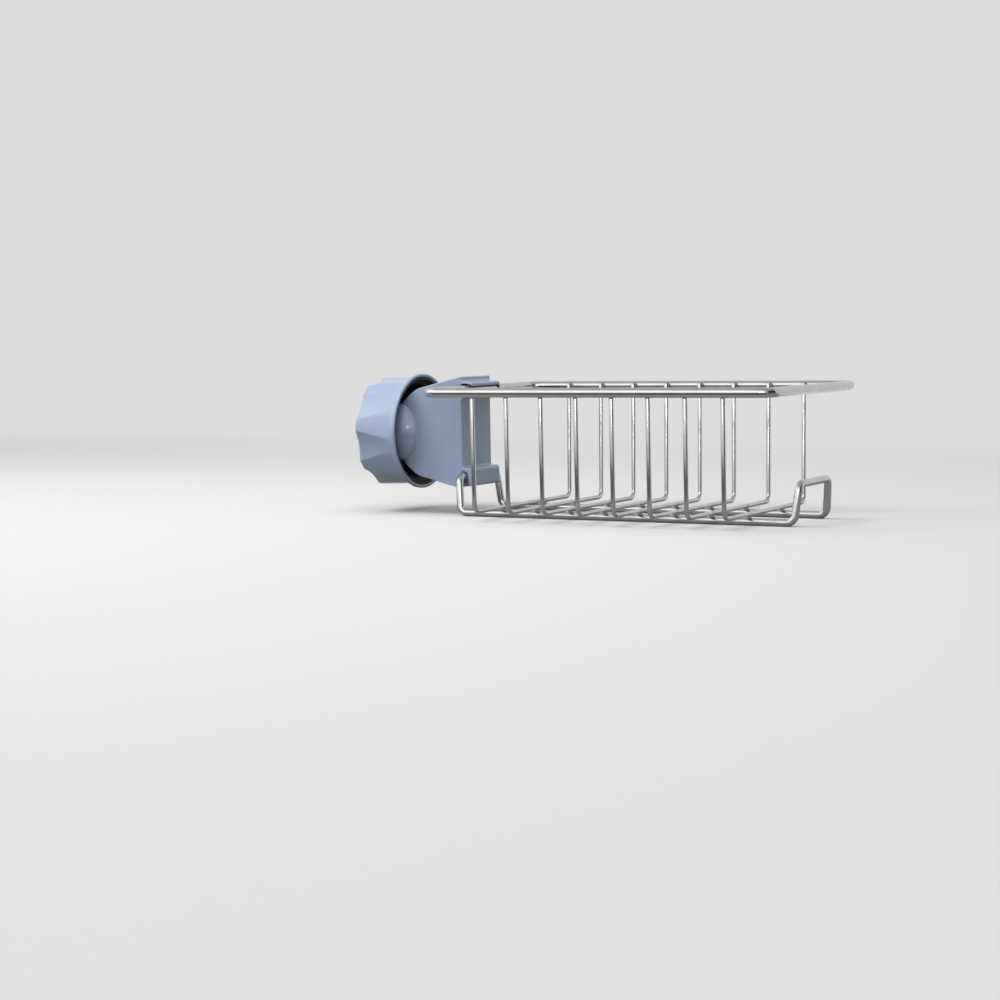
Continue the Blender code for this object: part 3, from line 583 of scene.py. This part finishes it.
def close_and_point_out():
    """Gives the mesh that is being edited normals that point outwards, and ends the editing."""
    bpy.ops.mesh.select_all(action="SELECT")
    bpy.ops.mesh.remove_doubles(threshold=MERGE_DISTANCE)
    bpy.ops.mesh.normals_make_consistent(inside=False)
    bpy.ops.object.mode_set(mode="OBJECT")


def shade(obj, angle=WIRE_CREASE):
    """Smooth shading, except over edges sharper than angle."""
    pick_only(obj)
    bpy.ops.object.shade_smooth_by_angle(angle=angle)


def finish_piece(obj, material, slot, body, *replaced):
    """Gives a piece its finish, lets it ride on its body and take the place of its CAD nodes."""
    pick_only(obj)
    bpy.ops.object.transform_apply(location=True, rotation=True, scale=True)
    obj.data.materials.clear()
    obj.data.materials.append(material)
    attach(obj, body)
    if replaced:
        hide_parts(*replaced)
    deselect_all()


def apply_modifier(obj, kind, name, **settings):
    """Adds a modifier, sets it up and applies it."""
    pick_only(obj)
    bpy.ops.object.modifier_add(type=kind)
    modifier = obj.modifiers[-1]
    modifier.name = name
    for setting, value in settings.items():
        setattr(modifier, setting, value)
    bpy.ops.object.modifier_apply(modifier=modifier.name)


def bends_of(corners, radii, closed):
    """Where each bend starts and ends, with its centre, axis and angle."""
    count = len(corners)
    bends = []
    for index in range(count):
        if radii[index] == 0.0:
            continue
        here = corners[index]
        before = (here - corners[index - 1]).normalized()
        after = (corners[(index + 1) % count] - here).normalized()
        angle = before.angle(after)
        axis = before.cross(after).normalized()
        length = radii[index] * math.tan(angle / 2)
        start = here - before * length
        end = here + after * length
        centre = start + axis.cross(before) * radii[index]
        bends.append((start, end, centre, axis, angle))
    return bends


def bent_wire(name, corners, radii, wire_radius, closed, sides, steps):
    """A drawn wire: a circle, extruded along each straight and spun round each bend.

    A closed wire starts in the middle of the straight between its last and first corner and its two ends
    are bridged there. An open one is capped, and the rims of its cut ends are broken.
    """
    corners = [Vector(corner) for corner in corners]
    broken_edge = wire_radius * 0.22
    start = (corners[-1] + corners[0]) / 2 if closed else corners[0]
    heading = (corners[0] - corners[-1]) if closed else (corners[1] - corners[0])
    turn = heading.to_track_quat("Z", "Y").to_euler()
    deselect_all()
    bpy.ops.mesh.primitive_circle_add(vertices=sides, radius=wire_radius, fill_type="NOTHING",
                                      location=start, rotation=turn)
    obj = newest(name)
    obj.data.name = name
    bpy.ops.object.transform_apply(location=True, rotation=True, scale=True)
    edit(obj)
    here = start
    for bend_start, bend_end, centre, axis, angle in bends_of(corners, radii, closed):
        bpy.ops.mesh.extrude_region_move(TRANSFORM_OT_translate={"value": bend_start - here})
        bpy.ops.mesh.spin(steps=steps, angle=-angle, center=centre, axis=axis)
        here = bend_end
    if closed:
        bpy.ops.mesh.select_mode(type="EDGE")
        bpy.ops.mesh.select_all(action="DESELECT")
        bpy.ops.mesh.select_non_manifold(extend=False, use_wire=False, use_boundary=True,
                                         use_multi_face=False, use_non_contiguous=False, use_verts=False)
        bpy.ops.mesh.bridge_edge_loops()
    else:
        bpy.ops.mesh.extrude_region_move(TRANSFORM_OT_translate={"value": corners[-1] - here})
        bpy.ops.mesh.select_all(action="SELECT")
        bpy.ops.mesh.fill_holes(sides=0)
        select_only(obj, "FACE", lambda face: len(face.verts) == sides)
        bpy.ops.mesh.bevel(offset=broken_edge, segments=3, affect="EDGES")
    close_and_point_out()
    shade(obj)
    return obj


def copy_of(source, name):
    """A piece with its own copy of the mesh."""
    twin = bpy.data.objects.new(name, source.data.copy())
    twin.data.name = name
    bpy.context.scene.collection.objects.link(twin)
    return twin


def merged_copy(node_name, name):
    """A copy of a CAD node with its loose triangles merged into whole faces."""
    obj = copy_of(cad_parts[node_name], name)
    edit(obj)
    bpy.ops.mesh.remove_doubles(threshold=MERGE_DISTANCE)
    bpy.ops.mesh.dissolve_limited(angle_limit=math.radians(0.4))
    bpy.ops.object.mode_set(mode="OBJECT")
    return obj


def move_mesh(obj, shift):
    """Moves the mesh and leaves the object at the origin."""
    pick_only(obj)
    obj.location = shift
    bpy.ops.object.transform_apply(location=True, rotation=False, scale=False)


def join_as(name, objects):
    """Joins the objects into one piece."""
    pick_only(*objects)
    bpy.ops.object.join()
    joined = newest(name)
    joined.data.name = name
    return joined


# ---------------- operators

class RimOperator(bpy.types.Operator):
    """Builds the thick wire round the top of the basket"""

    bl_idname = "soap_holder.rim"
    bl_label = "Rim Wire"

    def execute(self, context):
        wires = context.scene.soap_holder_wires
        inset = Vector((wires.rim_radius, wires.rim_radius, 0.0))
        low, high = RIM_LOW + inset, RIM_HIGH - inset
        corners = [(low.x, low.y, RIM_Z), (high.x, low.y, RIM_Z),
                   (high.x, high.y, RIM_Z), (low.x, high.y, RIM_Z)]
        rim = bent_wire("rim_wire", corners, [wires.rim_bend] * len(corners), wires.rim_radius, True,
                        wires.sides, wires.bend_steps)
        finish_piece(rim, polished_steel(), "steel_wire", "clamp", "top_rim_wire")
        return {"FINISHED"}


class RibsOperator(bpy.types.Operator):
    """Builds one U-shaped rib and copies it along the basket"""

    bl_idname = "soap_holder.ribs"
    bl_label = "Cross Ribs"

    def execute(self, context):
        wires = context.scene.soap_holder_wires
        top_y = RIB_HIGH.y - wires.rib_radius
        foot_y = top_y - wires.rib_lean
        foot_z = RIB_LOW.z + wires.rib_radius
        rib_sides = max(12, wires.sides - 8)
        corners = [(0.0, -top_y, RIB_HIGH.z), (0.0, -foot_y, foot_z),
                   (0.0, foot_y, foot_z), (0.0, top_y, RIB_HIGH.z)]
        model = bent_wire("rib_wire_1", corners, [0.0, wires.rib_bend, wires.rib_bend, 0.0], wires.rib_radius,
                          False, rib_sides, wires.bend_steps)
        ribs = [model] + [copy_of(model, f"rib_wire_{index + 1}") for index in range(1, len(RIB_NAMES))]
        for index, (rib, node_name) in enumerate(zip(ribs, RIB_NAMES)):
            move_mesh(rib, (FIRST_RIB_X + index * RIB_PITCH, 0.0, 0.0))
            finish_piece(rib, polished_steel(), "steel_wire", "clamp", node_name)
        return {"FINISHED"}


class BottomFrameOperator(bpy.types.Operator):
    """Builds the wire with two rails and two upturned loops under the basket"""

    bl_idname = "soap_holder.bottom_frame"
    bl_label = "Bottom Frame"

    def execute(self, context):
        wires = context.scene.soap_holder_wires
        radius = wires.frame_radius
        low, high = FRAME_LOW + Vector((radius,) * 3), FRAME_HIGH - Vector((radius,) * 3)
        foot_low, foot_high = low.x + wires.loop_lean, high.x - wires.loop_lean
        top_y = high.y - wires.loop_taper
        corners = [
            (foot_low, low.y, low.z), (foot_high, low.y, low.z),
            (high.x, -top_y, high.z), (high.x, top_y, high.z),
            (foot_high, high.y, low.z), (foot_low, high.y, low.z),
            (low.x, top_y, high.z), (low.x, -top_y, high.z),
        ]
        wire = bent_wire("bottom_wire", corners, [wires.loop_bend] * len(corners), radius, True,
                         wires.sides, wires.bend_steps)
        finish_piece(wire, polished_steel(), "steel_wire", "clamp", "bottom_frame_wire")
        return {"FINISHED"}


class WeldsOperator(bpy.types.Operator):
    """Builds one weld spot of each kind and copies it to every joint between two wires"""

    bl_idname = "soap_holder.welds"
    bl_label = "Weld Spots"

    def spot(self, name, half_sizes, unevenness, seed):
        """A squashed and slightly uneven bead round the origin."""
        deselect_all()
        bpy.ops.mesh.primitive_uv_sphere_add(segments=18, ring_count=10, radius=1.0)
        obj = newest(name)
        obj.scale = half_sizes
        bpy.ops.object.transform_apply(location=False, rotation=False, scale=True)
        edit(obj)
        bpy.ops.transform.vertex_random(offset=unevenness, seed=seed)
        bpy.ops.mesh.vertices_smooth(factor=0.5, repeat=2)
        bpy.ops.object.mode_set(mode="OBJECT")
        shade(obj, WELD_CREASE)
        return obj

    def spread(self, model, name, places):
        """Copies of the bead at these places, as one piece."""
        beads = []
        for index, place in enumerate(places):
            bead = copy_of(model, f"{name}_{index}")
            move_mesh(bead, place)
            beads.append(bead)
        bpy.data.objects.remove(model)
        return join_as(name, beads)

    def execute(self, context):
        wires = context.scene.soap_holder_wires
        welds = context.scene.soap_holder_welds
        rail_y = FRAME_HIGH.y - wires.frame_radius
        rail_top = FRAME_LOW.z + 2 * wires.frame_radius
        rim_y = RIM_HIGH.y - 2 * wires.rim_radius
        rib_places = [FIRST_RIB_X + index * RIB_PITCH for index in range(len(RIB_NAMES))]
        kinds = (("rail_welds", welds.rail_spot, rail_y, rail_top),
                 ("rim_welds", welds.rim_spot, rim_y, RIM_Z))
        for seed, (name, half_sizes, y, z) in enumerate(kinds):
            places = [(x, side * y, z) for x in rib_places for side in (-1, 1)]
            model = self.spot(name + "_model", half_sizes, welds.unevenness, seed)
            piece = self.spread(model, name, places)
            finish_piece(piece, weld_steel(), "steel_wire", "clamp")
        return {"FINISHED"}


class ClampBodyOperator(bpy.types.Operator):
    """Dresses the moulded clamp body"""

    bl_idname = "soap_holder.clamp_body"
    bl_label = "Clamp Body"

    def execute(self, context):
        body = merged_copy("clamp_body", "clamp_moulding")
        shade(body, MOULD_CREASE)
        apply_modifier(body, "WEIGHTED_NORMAL", "even_normals", keep_sharp=True, weight=80)
        finish_piece(body, blue_grey_plastic(), "clamp_plastic", "clamp", "clamp_body")
        return {"FINISHED"}


class KnobOperator(bpy.types.Operator):
    """Dresses the hand knob and its dark core"""

    bl_idname = "soap_holder.knob"
    bl_label = "Hand Knob"

    def execute(self, context):
        shell = merged_copy("knob_shell", "knob_moulding")
        shade(shell, KNOB_CREASE)
        finish_piece(shell, blue_grey_plastic(), "clamp_plastic", "knob", "knob_shell")
        core = merged_copy("knob_core", "knob_core_moulding")
        shade(core, MOULD_CREASE)
        finish_piece(core, black_plastic(), "black_plastic", "knob", "knob_core")
        return {"FINISHED"}


class ScrewOperator(bpy.types.Operator):
    """Builds the clamp screw with its helical thread"""

    bl_idname = "soap_holder.screw"
    bl_label = "Clamp Screw"

    def turned(self, name, profile, sides):
        """A turned part: a circle extruded along X from station to station, capped at both ends."""
        deselect_all()
        (x, radius), *rest = profile
        bpy.ops.mesh.primitive_circle_add(vertices=sides, radius=radius, fill_type="NOTHING",
                                          location=(x, 0.0, 0.0), rotation=(0.0, math.pi / 2, 0.0))
        obj = newest(name)
        bpy.ops.object.transform_apply(location=True, rotation=True, scale=True)
        edit(obj)
        for next_x, next_radius in rest:
            bpy.ops.mesh.extrude_region_move(TRANSFORM_OT_translate={"value": (next_x - x, 0.0, 0.0)})
            share = next_radius / radius
            bpy.ops.transform.resize(value=(1.0, share, share), center_override=(next_x, 0.0, 0.0))
            x, radius = next_x, next_radius
        bpy.ops.mesh.select_all(action="SELECT")
        bpy.ops.mesh.fill_holes(sides=0)
        close_and_point_out()
        return obj

    def thread(self, name, start, end, sizes, steps):
        """A right-hand thread: its section, wound round X and cut off flush at start and end."""
        deselect_all()
        bpy.ops.mesh.primitive_plane_add(size=1.0, location=(0.0, 0.0, 0.0))
        obj = newest(name)
        sunk_radius = sizes.root_radius - 0.0003
        for vertex in obj.data.vertices:
            outer = vertex.co.y > 0
            half_width = (sizes.crest_width if outer else sizes.foot_width) / 2
            radius = sizes.crest_radius if outer else sunk_radius
            vertex.co = (start - sizes.pitch / 2 + math.copysign(half_width, vertex.co.x), radius, 0.0)
        edit(obj)
        bpy.ops.mesh.delete(type="ONLY_FACE")
        bpy.ops.object.mode_set(mode="OBJECT")
        turns = math.ceil((end - start) / sizes.pitch) + 1
        apply_modifier(obj, "SCREW", "winding", axis="X", angle=2 * math.pi, screw_offset=sizes.pitch,
                       iterations=turns, steps=steps, render_steps=steps, use_smooth_shade=False)
        edit(obj)
        bpy.ops.mesh.remove_doubles(threshold=MERGE_DISTANCE)
        for place, side in ((start, -1), (end, 1)):
            bpy.ops.mesh.select_all(action="SELECT")
            bpy.ops.mesh.bisect(plane_co=(place, 0.0, 0.0), plane_no=(side, 0.0, 0.0), use_fill=True,
                                clear_outer=True)
        close_and_point_out()
        return obj

    def execute(self, context):
        sizes = context.scene.soap_holder_screw
        collar_length, neck_length, tip_head_thickness = 0.0010, 0.0017, 0.0007
        head_edge, collar_edge, sides, thread_steps = 0.0004, 0.0002, 48, 36
        back, tip = SCREW_LOW.x, SCREW_HIGH.x
        head_front = back + sizes.bolt_head_thickness
        tip_head_back = tip - tip_head_thickness
        neck_back = tip_head_back - neck_length
        collar_back = neck_back - collar_length
        spindle = self.turned("spindle", [
            (back, sizes.bolt_head_radius - head_edge), (back + head_edge, sizes.bolt_head_radius),
            (head_front - head_edge, sizes.bolt_head_radius),
            (head_front, sizes.bolt_head_radius - head_edge),
            (head_front, sizes.root_radius), (collar_back, sizes.root_radius),
            (collar_back, sizes.crest_radius - collar_edge), (collar_back + collar_edge, sizes.crest_radius),
            (neck_back - collar_edge, sizes.crest_radius), (neck_back, sizes.crest_radius - collar_edge),
            (neck_back, sizes.neck_radius), (tip_head_back, sizes.neck_radius),
            (tip_head_back, sizes.tip_head_radius), (tip, sizes.tip_head_radius),
        ], sides)
        thread = self.thread("thread", head_front + collar_edge, collar_back - collar_edge,
                             sizes, thread_steps)
        screw = join_as("threaded_screw", [spindle, thread])
        shade(screw, MOULD_CREASE)
        finish_piece(screw, zinc_plated_steel(), "plated_steel", "knob", "clamp_screw")
        return {"FINISHED"}


class FootOperator(bpy.types.Operator):
    """Dresses the swivel foot and grooves the rubber of foot and jaw"""

    bl_idname = "soap_holder.foot"
    bl_label = "Foot and Pads"

    def ring_grooves(self, pad, moulds):
        """Presses rings into the round pad's face."""
        face_x = max(vertex.co.x for vertex in pad.data.vertices) - 0.0002
        slope = moulds.groove_depth * 0.4
        edit(pad)
        select_only(pad, "FACE", lambda face: face.normal.x > 0.9 and face.calc_center_median().x > face_x)
        for _ in range(moulds.ring_count):
            for thickness, depth in ((moulds.land, 0.0), (slope, -moulds.groove_depth),
                                     (moulds.groove_width, 0.0), (slope, moulds.groove_depth)):
                bpy.ops.mesh.inset(thickness=thickness, depth=depth)
        bpy.ops.object.mode_set(mode="OBJECT")

    def cross_grooves(self, liner, moulds):
        """Cuts level grooves into the liner's hollow face."""
        low = min(vertex.co.z for vertex in liner.data.vertices)
        high = max(vertex.co.z for vertex in liner.data.vertices)
        step = (high - low) / (moulds.groove_count + 1)
        levels = [low + step * (index + 1) for index in range(moulds.groove_count)]
        half = moulds.groove_width / 2
        cuts = [((0.0, 0.0, level + side * half), (0.0, 0.0, 1.0)) for level in levels for side in (-1, 1)]
        cuts += [((0.0, side * moulds.hollow_half_width, 0.0), (0.0, 1.0, 0.0)) for side in (-1, 1)]

        def in_groove(face):
            centre = face.calc_center_median()
            return (face.normal.x < -0.7 and abs(centre.y) < moulds.hollow_half_width
                    and min(abs(centre.z - level) for level in levels) < half)

        edit(liner)
        for place, normal in cuts:
            bpy.ops.mesh.select_all(action="SELECT")
            bpy.ops.mesh.bisect(plane_co=place, plane_no=normal)
        select_only(liner, "FACE", in_groove)
        bpy.ops.mesh.extrude_region_move(TRANSFORM_OT_translate={"value": (moulds.groove_depth, 0.0, 0.0)})
        bpy.ops.object.mode_set(mode="OBJECT")

    def execute(self, context):
        moulds = context.scene.soap_holder_moulds
        foot = merged_copy("swivel_foot", "foot_disc")
        shade(foot, MOULD_CREASE)
        finish_piece(foot, black_plastic(), "black_plastic", "pad_carriage", "swivel_foot")
        pad = merged_copy("foot_pad", "foot_rubber")
        self.ring_grooves(pad, moulds)
        shade(pad, MOULD_CREASE)
        finish_piece(pad, grey_rubber(), "rubber", "pad_carriage", "foot_pad")
        liner = merged_copy("jaw_liner", "jaw_rubber")
        self.cross_grooves(liner, moulds)
        shade(liner, MOULD_CREASE)
        finish_piece(liner, grey_rubber(), "rubber", "clamp", "jaw_liner")
        return {"FINISHED"}


class StageOperator(bpy.types.Operator):
    """Sets up the floor, backdrop, lamps and camera"""

    bl_idname = "soap_holder.stage"
    bl_label = "Studio"

    def floor(self, settings):
        """A pale sweep: a floor that curves up into a backdrop behind the soap holder."""
        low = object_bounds()[0].z
        middle_x, middle_y, width, depth = 0.1, -2.3, 9.0, 8.0
        rise, bend_radius, near = 2.6, 0.7, 1e-4
        back = middle_y + depth / 2
        deselect_all()
        bpy.ops.mesh.primitive_plane_add(size=1.0, location=(middle_x, middle_y, low))
        sweep = newest("studio_sweep")
        sweep.scale = (width, depth, 1.0)
        bpy.ops.object.transform_apply(location=True, rotation=True, scale=True)
        edit(sweep)
        select_only(sweep, "EDGE", lambda edge: all(abs(v.co.y - back) < near for v in edge.verts))
        bpy.ops.mesh.extrude_region_move(TRANSFORM_OT_translate={"value": (0.0, 0.0, rise)})
        select_only(sweep, "EDGE", lambda edge: all(abs(v.co.y - back) < near and abs(v.co.z - low) < near
                                                    for v in edge.verts))
        bpy.ops.mesh.bevel(offset=bend_radius, segments=24, affect="EDGES")
        close_and_point_out()
        shade(sweep, PAPER_CREASE)
        material, nodes = new_material("studio_paper")
        y = nodes.axes()[1]
        seen = 0.0
        for ray in ("Is Camera Ray", "Is Glossy Ray", "Is Transmission Ray"):
            seen = nodes.add("ShaderNodeLightPath", output=ray) + seen
        seen = seen.at_most(1.0)
        paper = nodes.mix(seen, colour(settings.bounce_colour), colour(settings.floor_colour))
        floor = nodes.add("ShaderNodeBsdfDiffuse", {}, {"Color": paper})
        backdrop = nodes.add("ShaderNodeEmission", {}, {"Color": colour(settings.backdrop_colour)})
        share = nodes.ease(y, 0.10, 0.75) * seen
        sweep_light = nodes.add("ShaderNodeMixShader", {}, {0: share, 1: floor, 2: backdrop})
        nodes.add("ShaderNodeOutputMaterial", {}, {"Surface": sweep_light})
        sweep.data.materials.append(material)
        sweep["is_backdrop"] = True

    def lamp(self, name, place, size, power, mirrored):
        """A soft square lamp that faces the basket. Gloss shows it only if mirrored is true."""
        turn = (Vector(LAMP_TARGET) - Vector(place)).to_track_quat("-Z", "Y").to_euler()
        deselect_all()
        bpy.ops.object.light_add(type="AREA", location=place, rotation=turn)
        lamp = newest(name)
        lamp.data.shape = "SQUARE"
        lamp.data.size = size
        lamp.data.energy = power
        lamp.visible_glossy = mirrored

    def card(self, name, settings, corners, shades):
        """A dark card with rounded corners that only mirrors see, or that also shades if shades is true."""
        middle = sum((Vector(corner) for corner in corners), Vector()) / len(corners)
        deselect_all()
        bpy.ops.mesh.primitive_plane_add(size=1.0, location=middle)
        card = newest(name)
        bpy.ops.object.transform_apply(location=True, rotation=True, scale=True)
        order = ((-1, -1), (1, -1), (1, 1), (-1, 1))
        for vertex in card.data.vertices:
            side = (1 if vertex.co.x > middle.x else -1, 1 if vertex.co.y > middle.y else -1)
            vertex.co = corners[order.index(side)]
        edit(card)
        corner_radius = 0.02
        bpy.ops.mesh.bevel(offset=corner_radius, segments=6, affect="VERTICES")
        bpy.ops.object.mode_set(mode="OBJECT")
        material, nodes = new_material(name + "_paint")
        fade_start, fade_end = -0.138, -0.112
        fade = nodes.ease(nodes.axes()[1], fade_start, fade_end) * (0.0 if shades else 1.0)
        paint = nodes.mix(fade, colour(settings.card_colour), colour(settings.card_fade_colour))
        nodes.finish(Base_Color=paint, Roughness=0.9)
        card.data.materials.append(material)
        card.visible_camera = False
        card.visible_diffuse = shades
        card.visible_shadow = shades
        card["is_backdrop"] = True

    def room(self, context, settings):
        """Light from all sides: bright from the front and left, dim from the right, the back and above."""
        world = bpy.data.worlds.new("studio_room")
        world.use_nodes = True
        nodes = Nodes(world.node_tree)
        x, y, z = nodes.axes("Generated")
        front = nodes.ease(x * -0.5 - y * 0.85, -0.1, 0.6) * nodes.ease(z, -0.05, 0.35, 0.35, 1.0)
        walls = nodes.mix(front, colour(settings.side_colour), colour(settings.front_colour))
        sky = nodes.mix(nodes.ease(z, 0.5, 0.95), walls, colour(settings.zenith_colour))
        room = nodes.add("ShaderNodeBackground", {}, {"Color": sky, "Strength": 1.0})
        nodes.add("ShaderNodeOutputWorld", {}, {"Surface": room})
        context.scene.world = world

    def camera(self, context, settings):
        """The camera at the photograph's angle."""
        turn = (Matrix.Rotation(settings.camera_yaw, 3, "Z")
                @ Matrix.Rotation(math.pi / 2 + settings.camera_pitch, 3, "X")
                @ Matrix.Rotation(settings.camera_roll, 3, "Z")).to_euler()
        deselect_all()
        bpy.ops.object.camera_add(location=settings.camera_place, rotation=turn)
        camera = newest("studio_camera")
        camera.data.lens = settings.camera_lens
        camera.data.sensor_width = 36.0
        camera.data.clip_start = 0.01
        context.scene.camera = camera

    def execute(self, context):
        settings = context.scene.soap_holder_stage
        self.floor(settings)
        for name, power, place, size, mirrored in LAMPS:
            self.lamp(name, place, size, getattr(settings, power), mirrored)
        card_lift = 0.0004
        floor_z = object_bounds()[0].z + card_lift
        half, near, far = 0.60, -0.75, 0.10
        self.card("front_card", settings, [(-half, near, floor_z), (half, near, floor_z),
                                           (half, far, floor_z), (-half, far, floor_z)], False)
        x, near, far, top = 0.62, -0.28, 0.12, 0.36
        self.card("right_card", settings, [(x, near, floor_z), (x, far, floor_z),
                                           (x, far, top), (x, near, top)], True)
        self.room(context, settings)
        context.scene.view_settings.view_transform = "Standard"
        self.camera(context, settings)
        return {"FINISHED"}


OPERATORS = (
    RimOperator, RibsOperator, BottomFrameOperator, WeldsOperator, ClampBodyOperator, KnobOperator,
    ScrewOperator, FootOperator, StageOperator,
)


class SoapHolderPanel(bpy.types.Panel):
    """Lists the settings and the steps that build the soap holder"""

    bl_idname = "VIEW3D_PT_soap_holder"
    bl_label = "Wire Soap Holder"
    bl_space_type = "VIEW_3D"
    bl_region_type = "UI"
    bl_category = "Soap Holder"

    def draw(self, context):
        layout = self.layout
        for attribute, group in SETTINGS.items():
            box = layout.box()
            settings = getattr(context.scene, attribute)
            for name in group.__annotations__:
                box.prop(settings, name)
        for operator in OPERATORS:
            layout.operator(operator.bl_idname)


def register():
    for group in SETTINGS.values():
        bpy.utils.register_class(group)
    for attribute, group in SETTINGS.items():
        setattr(bpy.types.Scene, attribute, PointerProperty(type=group))
    for operator in OPERATORS:
        bpy.utils.register_class(operator)
    bpy.utils.register_class(SoapHolderPanel)


def unregister():
    bpy.utils.unregister_class(SoapHolderPanel)
    for operator in reversed(OPERATORS):
        bpy.utils.unregister_class(operator)
    for attribute in SETTINGS:
        delattr(bpy.types.Scene, attribute)
    for group in reversed(list(SETTINGS.values())):
        bpy.utils.unregister_class(group)


def main():
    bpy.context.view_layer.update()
    register()
    bpy.ops.soap_holder.rim()
    bpy.ops.soap_holder.ribs()
    bpy.ops.soap_holder.bottom_frame()
    bpy.ops.soap_holder.welds()
    bpy.ops.soap_holder.clamp_body()
    bpy.ops.soap_holder.knob()
    bpy.ops.soap_holder.screw()
    bpy.ops.soap_holder.foot()
    bpy.ops.soap_holder.stage()


if __name__ == "__main__":
    main()
